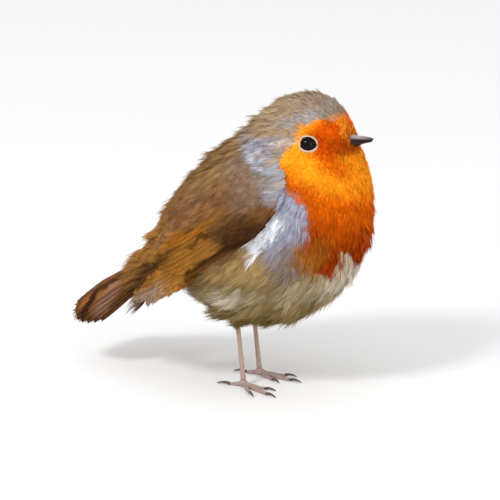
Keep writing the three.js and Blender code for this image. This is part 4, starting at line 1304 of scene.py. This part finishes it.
class ROBIN_OT_coat(bpy.types.Operator):
    """Lays the body's tufts over the skin, along the lie of the plumage"""

    bl_idname = "robin.coat"
    bl_label = "Coat"

    def execute(self, context):
        plumage, material = context.scene.robin_plumage, coat_material(context.scene.robin_colours)
        rng = np.random.default_rng(plumage.seed)
        skin = bpy.data.objects["skin"]
        (start, end), (low, high), outside = UNDER_WING

        def share(points):
            """Tufts to the square millimetre, and none under the wing or on the eye."""
            half = coat_lie(points)[1][:, 2]
            p, q = wing_place(points)
            hidden = (p > start) & (p < end) & (q > low) & (q < high) & (np.abs(points[:, 1]) > outside)
            bare = near_eye(points) < EYE_CLEAR - 0.35
            return np.where(hidden | bare, 0, plumage.tuft_share / np.clip(half, 0.35, 1.5) ** 1.3)

        roots, ups, uv = scatter(skin.data, rng, share)
        count = len(roots)
        length, depth, half, loose = coat_lie(roots)[1].T
        clear, clump = clear_of_eye(roots), clumps(roots)
        lengths = length * (0.45 + 0.55 * clear) * rng.uniform(0.85, 1.15, count) * plumage.tuft_length
        stray = (rng.uniform(size=count) > 0.9) * rng.uniform(0.3, 1.4, count) * smooth_step(loose, 0.1, 0.7)
        stand = (loose * rng.uniform(0, 1, count) ** 1.6 + stray) * clear * (0.4 + 1.1 * clump)
        depth = EYE_COAT + (depth - EYE_COAT) * clear
        gap = 0.22 * (1 - clump) * smooth_step(loose, 0.3, 0.6)
        heights = depth * rng.uniform(0.78, 1.02, count) * (1 - gap) + stand
        swing = rng.normal(0, math.radians(9), count)
        lines = follow(Surface(skin), roots, ups, lengths, heights, swing)
        tufts = (*lines, roots, uv, half * (0.5 + 0.5 * clear), 0.1 * heights)
        x, _, z = roots.T
        zones = {
            "coat_head": ("upper_plumage", (z > HEAD_FLOOR) & (x < FACE_REAR)),
            "coat_face": ("orange_plumage", (z > HEAD_FLOOR) & (x >= FACE_REAR)),
            "coat_breast": ("orange_plumage", (z <= HEAD_FLOOR) & (z > BREAST_FLOOR) & (x > BREAST_REAR)),
        }
        zones["coat_body"] = ("under_plumage", ~np.any([mask for _, mask in zones.values()], axis=0))
        for name, (slot, mask) in zones.items():
            coat_pieces(name, rng, [array[mask] for array in tufts], BODY_TUFT, plumage, material, slot)
        return {"FINISHED"}


class ROBIN_OT_wings(bpy.types.Operator):
    """Builds both folded wings, feather by feather"""

    bl_idname = "robin.wings"
    bl_label = "Wings"

    def execute(self, context):
        plumage, material = context.scene.robin_plumage, wing_material(context.scene.robin_colours)
        half_width = body_shell().half_widths()
        for name, side in SIDES.items():
            rng = np.random.default_rng(plumage.seed + WING_SEED)
            place = wing_chart(side, half_width)

            def under_wing(t, across, up, bulge):
                waist = WING_PAD["narrows"]
                narrowed = 1 - 0.85 * np.clip((t - waist) / (1 - waist), 0, 1) ** 1.6
                width = WING_PAD["half"] * np.where(t < waist, bulge**0.5, narrowed)
                q = WING_PAD["middle"] - WING_PAD["fall"] * t + width * across
                n = np.where(up > 0, 0.3 * up - 1.4, -1.5 + 2.5 * up) - smooth_step(t, 0.12, 0)
                return place(WING_PAD["start"] + WING_PAD["length"] * t, q, n)

            pillow(f"wing_pad_{name}", under_wing, material, "wing_feathers", f"wing_{name}")
            feathers = [
                feather(place, rng, root, tip, half, rise, roll, outline, turn=-side)
                for roots, tips, count, half, rise, roll, outline in WING_TIERS.values()
                for root, tip in zip(along_line(roots, count), along_line(tips, count))
            ]
            join_feathers(f"wing_vanes_{name}", feathers, rng, material, "wing_feathers")
            tufts = self.soft_coverts(side, place, rng)
            coat_pieces(f"wing_coverts_{name}", rng, tufts, WING_TUFT, plumage, material, "wing_feathers")
        return {"FINISHED"}

    def soft_coverts(self, side, place, rng):
        """Small coverts and scapulars as rows of soft tufts over the front and top of the wing."""
        rows = np.meshgrid(*(np.arange(*span, COVERT_STEP) for span in COVERT_FIELD))
        p, q = [row.ravel() + rng.uniform(-0.7, 0.7, row.size) * COVERT_STEP for row in rows]
        inside = (p < 13 + 0.6 * q + 7 * smooth_step(q, 8, 13)) & (q > 0.4 - 0.5 * p) & (q > -2.2)
        inside &= ((q - 8) / 13) ** 2 + (np.minimum(p, 0) / 8.5) ** 2 < 1.25
        # a loose fringe under the long primaries
        fringe = rng.uniform(*FRINGE, FRINGE_TUFTS)
        drop = rng.uniform(-3.8, -2.5, FRINGE_TUFTS) + 0.07 * (fringe - FRINGE[0])
        p, q = np.append(p[inside], fringe), np.append(q[inside], drop)
        loose = p > 35
        lengths = np.where(loose, 4.5, 6.5 + 0.14 * np.clip(p, 0, 40)) * rng.uniform(0.8, 1.2, p.size)
        turn = rng.normal(0, 5, p.size) - 6 * smooth_step(q, 10, 20) + 22 * smooth_step(p, 2, -7) - 31 * loose
        edge = smooth_step(p, 8, -2)
        high = rng.uniform(1.5, 2.4, p.size) * (1 - 0.75 * edge) - 0.3 * smooth_step(p, 0, -6) - 1.4 * loose
        ps, qs, ns = chart_lines(p, q, np.radians(turn), lengths, -1.2 - 0.6 * edge, high, 0.7)
        near = 0.3
        along = place(ps + near, qs, ns) - place(ps - near, qs, ns)
        across = place(ps, qs + near, ns) - place(ps, qs - near, ns)
        lines = tuft_frames(place(ps, qs, ns), unit(side * np.cross(along, across)))
        uv = np.stack([p + 12, q + 8], 1) / 110
        return *lines, lines[0][:, 1], uv, np.where(loose, 1.0, 1.9), np.full(p.size, 0.12)


class ROBIN_OT_tail(bpy.types.Operator):
    """Builds the tail feathers and the coverts over and under their roots"""

    bl_idname = "robin.tail"
    bl_label = "Tail"

    def execute(self, context):
        colours, plumage = context.scene.robin_colours, context.scene.robin_plumage
        rng = np.random.default_rng(plumage.seed + TAIL_SEED)
        material = tail_material(colours)

        def under_tail(t, across, up, bulge):
            width = (3.2 + 4.5 * t) * bulge**0.6
            n = np.where(up > 0, 0.1 * up - 0.7, -0.7 + (3.4 - 1.2 * t) * up)
            return tail_chart(-5 + 47 * t, width * across - 1.5 * t, n)

        pillow("tail_core", under_tail, material, "tail_feathers", "tail")
        size, feathers = TAIL_FEATHER, []
        for i in reversed(range(len(TAIL_TIPS[1]))):
            for side in (-1, 1):
                root = (4, side * (i + 0.5) * size["at_root"])
                rise = (0.3 - i * size["step"] * 0.4, 0.35 - i * size["step"])
                half, roll = size["half"] - 0.08 * i, -side * size["roll"]
                *vane, lies = feather(tail_chart, rng, root, TAIL_TIPS[side][i], half, rise, roll, RUDDER)
                feathers.append((*vane, lies * (1, side)))
        join_feathers("tail_vanes", feathers, rng, material, "tail_feathers")
        for name, row in TAIL_COVERTS.items():
            tufts = self.coverts(rng, *row)
            coat_pieces(name, rng, tufts, TAIL_TUFT, plumage, coat_material(colours), "tail_feathers")
        return {"FINISHED"}

    def coverts(self, rng, end, spread, drift, fan, low, rise, stray, facing):
        """Soft tufts over or under the root of the tail, in the body's own colours."""
        count = COVERTS_EACH
        p = rng.uniform(-6, end, count)
        q = rng.uniform(-1, 1, count) * (3.5 + spread * np.clip(p, 0, 30)) - drift * np.clip(p, 0, 30)
        lengths = rng.uniform(9, 13, count)
        turn = np.arctan2(q, fan) + rng.normal(0, 0.08, count)
        low = rng.uniform(*low, count)
        high = low + rng.uniform(*rise, count)
        high = high + (rng.uniform(size=count) > 0.85) * rng.uniform(0.5, 1.6, count) * stray
        places = tail_chart(*chart_lines(p, q, turn, lengths, low, high, 0.8))
        uv = np.stack([(p + 12) / 60, (q + 15) / 40], 1)
        lines = tuft_frames(places, np.broadcast_to(facing * TAIL_LIFT, places.shape))
        return *lines, places[:, 1], uv, np.full(count, 1.5), np.full(count, 0.2)


class ROBIN_OT_eyes(bpy.types.Operator):
    """Sets the dark eyes and their pale rings of skin"""

    bl_idname = "robin.eyes"
    bl_label = "Eyes"

    def execute(self, context):
        wet, web = new_material("Wet eye", roughness=0.04, specular=0.12)
        web.grain(linear(0, 0, 0), linear(10, 6, 5), Scale=900)
        lid, web = new_material("Eye ring", roughness=0.6, specular=0.2)
        colours = context.scene.robin_colours
        web.grain(colours.lid, LID_SHADE, Scale=2600, Detail=3, Depth=0.0001)
        for name, side in SIDES.items():
            low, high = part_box(f"eye_{name}")
            centre, radius = middle_of(f"eye_{name}"), (high[2] - low[2]) / 2 / MM
            around = centre + 6 * np.array([(x, side, z) for x in (-1, 0, 1) for z in (-1, 0, 1) if x or z])
            gaze = unit(body_shell().nearest(around)[1].mean(0))

            add = bpy.ops.mesh.primitive_uv_sphere_add
            eye = add_primitive(f"eyeball_{name}", add, segments=48, ring_count=32, radius=radius * MM)
            points = read_array(eye.data.vertices, "co") / MM
            cornea = 1 + 0.035 * smooth_step(unit(points) @ gaze, 0.72, 0.95)
            set_points(eye.data, points * cornea[:, None] + centre)
            bpy.ops.object.shade_smooth()
            finish_piece(eye, wet, "eye", f"eye_{name}")

            add = bpy.ops.mesh.primitive_torus_add
            size = {"major_radius": RING_RADIUS * MM, "minor_radius": RING_THICK * MM}
            ring = add_primitive(f"eye_ring_{name}", add, major_segments=64, minor_segments=14, **size)
            x, y, n = (read_array(ring.data.vertices, "co") / MM).T
            ahead = unit(np.cross(np.cross(gaze, [1, 0, 0]), gaze))
            up = np.cross(gaze, ahead)
            up = up if up[2] > 0 else -up
            x, y, n = x * (1 + 0.1 * np.abs(np.cos(np.arctan2(y, x))) ** 6), y * 0.84, n * 0.9
            ball = radius * 1.02
            sunk = ball - np.sqrt(np.maximum(ball**2 - (x**2 + y**2), 1.0))
            lift = radius - sunk + n
            set_points(ring.data, centre + gaze * lift[:, None] + ahead * x[:, None] + up * y[:, None])
            with editing(ring):
                bpy.ops.mesh.normals_make_consistent(inside=False)
            bpy.ops.object.shade_smooth()
            finish_piece(ring, lid, "under_plumage")
        return {"FINISHED"}


class ROBIN_OT_bill(bpy.types.Operator):
    """Finishes both halves of the bill"""

    bl_idname = "robin.bill"
    bl_label = "Bill"

    def execute(self, context):
        colours = context.scene.robin_colours
        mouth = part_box("bill_lower")[1][2] / MM
        low, high = [to_stance(corner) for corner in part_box("bill_upper")]
        material, web = new_material("Horn", roughness=0.34, specular=0.22)
        grain = web.noise(web.vector("MULTIPLY", web.own_place(), (200.0, 1400.0, 1400.0)), 1.0, 3.0)
        part = web.split(web.stance(web.own_place()))
        # painted highlight: the upper mandible is paler above the mouth line, most towards the base
        ridge, base = web.step(part["Z"], mouth - 0.1, mouth + 0.8), web.step(part["X"], 46, 40, 0.15, 1.0)
        horn = web.blend(web.product(ridge, base), colours.bill, colours.bill_highlight)
        web.paint(web.shaded(horn, web.step(grain, 0.2, 0.8, 0.8, 1.2)))
        web.feed(web.shader["Roughness"], web.step(grain, 0.2, 0.8, 0.3, 0.45))
        for half in ("bill_upper", "bill_lower"):
            piece = remould(f"{half}_horn", [half], grain=0.12, grow=0.1)
            points = read_mesh(piece.data)[0]
            deeper = 1 + 0.4 * smooth_step(points[:, 0], 43, 38.5) * (points[:, 2] < mouth)
            points[:, 2] = mouth + (points[:, 2] - mouth) * deeper - BILL_DROP
            set_points(piece.data, points)
            finish_piece(piece, material, "bill", half)

        def base_flange(t, across, up, bulge):
            """The wide soft root of the bill that runs back into the face."""
            depth = np.where(up > 0, 1.25, 3.0 - 1.4 * t)
            across = across * bulge * (3.8 - 2.2 * t)
            return np.stack([low[0] - 5.5 + 9 * t, across, mouth - BILL_DROP + up * depth], -1)

        def mouth_inside(t, across, up, bulge):
            """The dark filling between the halves of the bill."""
            x = low[0] - 4 + (high[0] - low[0] + 1.5) * t
            return np.stack([x, across * bulge * 1.1, mouth - 0.1 - BILL_DROP + up * 0.45], -1)

        pillow("bill_root", base_flange, material, "bill")
        pillow("bill_mouth", mouth_inside, material, "bill")
        return {"FINISHED"}


class ROBIN_OT_legs(bpy.types.Operator):
    """Finishes the legs with scutes, and the claws"""

    bl_idname = "robin.legs"
    bl_label = "Legs"

    def execute(self, context):
        colours = context.scene.robin_colours
        skin, web = new_material("Leg skin", roughness=0.48, specular=0.35)
        height = web.split(web.scaled(web.own_place(), 1 / MM))["Z"]
        shank = web.blend(web.step(height, 4, 14), TOE_SKIN, colours.leg)
        web.grain(shank, LEG_SHADE, Scale=1500, Detail=3, Depth=0.00012)
        horn, web = new_material("Claw horn", roughness=0.35, specular=0.4)
        web.grain(colours.claw, CLAW_PALE, Scale=700)
        for name in SIDES:
            tarsus = remould(f"shank_{name}", [f"tarsus_{name}"], grain=0.16)
            self.reach_up(tarsus.data)
            self.scutes(tarsus.data, lambda points: points[:, 2], *SHANK_SCUTES)
            finish_piece(tarsus, skin, "leg_skin", f"tarsus_{name}")
            foot = remould(f"toes_{name}", [f"foot_{name}"], grain=0.16)
            heel = middle_of(f"tarsus_{name}")[:2]
            self.scutes(foot.data, lambda points: np.hypot(*(points[:, :2] - heel).T), *TOE_SCUTES)
            finish_piece(foot, skin, "leg_skin", f"foot_{name}")
            for toe in TOES:
                claw = remould(f"nail_{name}_{toe}", [f"claw_{name}_{toe}"], grain=0.1, smooth=3)
                finish_piece(claw, horn, "claw", f"claw_{name}_{toe}")
        return {"FINISHED"}

    def reach_up(self, mesh):
        """Draws the top of the leg up into the feathers of the thigh."""
        points = read_mesh(mesh)[0]
        height = points[:, 2]
        axis = unit(points[height > height.max() - 2].mean(0) - points[height < height.min() + 3].mean(0))
        share = smooth_step(height, height.max() - 1.2, height.max() - 0.2)
        set_points(mesh, points + 3.0 * share[:, None] * axis)

    def scutes(self, mesh, along, spacing, height, axis, edge):
        """Overlapping plates: each swells towards its lower end and steps down to the next.

        They lie on the side that faces along one axis, and fade out from there to where its share is edge.
        """
        points, normals, _ = read_mesh(mesh)
        share = (along(points) / spacing) % 1
        swell = height * (smooth_step(share, 0.0, 0.15) - smooth_step(share, 0.15, 1.0))
        moved = points + normals * (swell * smooth_step(normals[:, axis], edge, 0.4))[:, None]
        moved[:, 2] = np.maximum(moved[:, 2], points[:, 2].min())
        set_points(mesh, moved)


class ROBIN_OT_stage(bpy.types.Operator):
    """Sets the pale floor, the soft studio light and the camera"""

    bl_idname = "robin.stage"
    bl_label = "Stage"

    def execute(self, context):
        scene, studio = context.scene, context.scene.robin_studio
        floor = add_primitive("floor", bpy.ops.mesh.primitive_plane_add, size=FLOOR_SIZE)
        material, web = new_material("Pale floor", roughness=0.9, specular=0.1)
        web.grain((0.86, 0.86, 0.86, 1), (0.9, 0.9, 0.9, 1), Scale=3)
        floor.data.materials.append(material)

        azimuth, level = studio.azimuth, math.cos(studio.elevation)
        back = Vector((math.sin(azimuth) * level, -math.cos(azimuth) * level, math.sin(studio.elevation)))
        target = Vector((STANCE[0] * MM, 0, studio.target_height))

        def set_up(name, thing, place):
            """Puts a camera or lamp at its place from the target and points it there."""
            obj = bpy.data.objects.new(name, thing)
            obj.location = target + Vector(place)
            obj.rotation_euler = (-Vector(place)).to_track_quat("-Z", "Y").to_euler()
            scene.collection.objects.link(obj)
            return obj

        camera = bpy.data.cameras.new("camera")
        camera.sensor_width = 36
        camera.lens = camera.sensor_width * studio.distance / studio.view_width
        camera.clip_start, camera.clip_end = 0.05, 50
        scene.camera = set_up("camera", camera, back * studio.distance)
        for name, setting, size, place in LAMPS:
            light = bpy.data.lights.new(name, "AREA")
            light.energy, light.size = getattr(studio, setting), size
            set_up(name, light, place)
        scene.world = bpy.data.worlds.new("soft studio")
        scene.world.use_nodes = True
        sky = scene.world.node_tree.nodes["Background"].inputs
        sky["Color"].default_value, sky["Strength"].default_value = (1, 1, 1, 1), SKY
        scene.view_settings.view_transform = "Standard"
        return {"FINISHED"}


class ROBIN_PT_panel(bpy.types.Panel):
    """Lists the pieces of the model and its settings"""

    bl_idname = "ROBIN_PT_panel"
    bl_label = "Robin"
    bl_space_type = "VIEW_3D"
    bl_region_type = "UI"
    bl_category = "Robin"

    def draw(self, context):
        for step in STEPS:
            self.layout.operator(step.bl_idname)
        for group in SETTINGS:
            settings = getattr(context.scene, group)
            box = self.layout.box()
            for name in settings.bl_rna.properties.keys():
                if name not in ("rna_type", "name"):
                    box.prop(settings, name)


SETTINGS = {"robin_plumage": RobinPlumage, "robin_colours": RobinColours, "robin_studio": RobinStudio}
STEPS = (
    ROBIN_OT_skin, ROBIN_OT_coat, ROBIN_OT_wings, ROBIN_OT_tail, ROBIN_OT_eyes, ROBIN_OT_bill, ROBIN_OT_legs,
    ROBIN_OT_stage,
)


def register():
    for item in (*SETTINGS.values(), *STEPS, ROBIN_PT_panel):
        bpy.utils.register_class(item)
    for name, group in SETTINGS.items():
        setattr(bpy.types.Scene, name, PointerProperty(type=group))


def unregister():
    for name in SETTINGS:
        delattr(bpy.types.Scene, name)
    for item in reversed((*SETTINGS.values(), *STEPS, ROBIN_PT_panel)):
        bpy.utils.unregister_class(item)


def main():
    register()
    for step in STEPS:
        family, name = step.bl_idname.split(".")
        getattr(getattr(bpy.ops, family), name)()


if __name__ == "__main__":
    main()
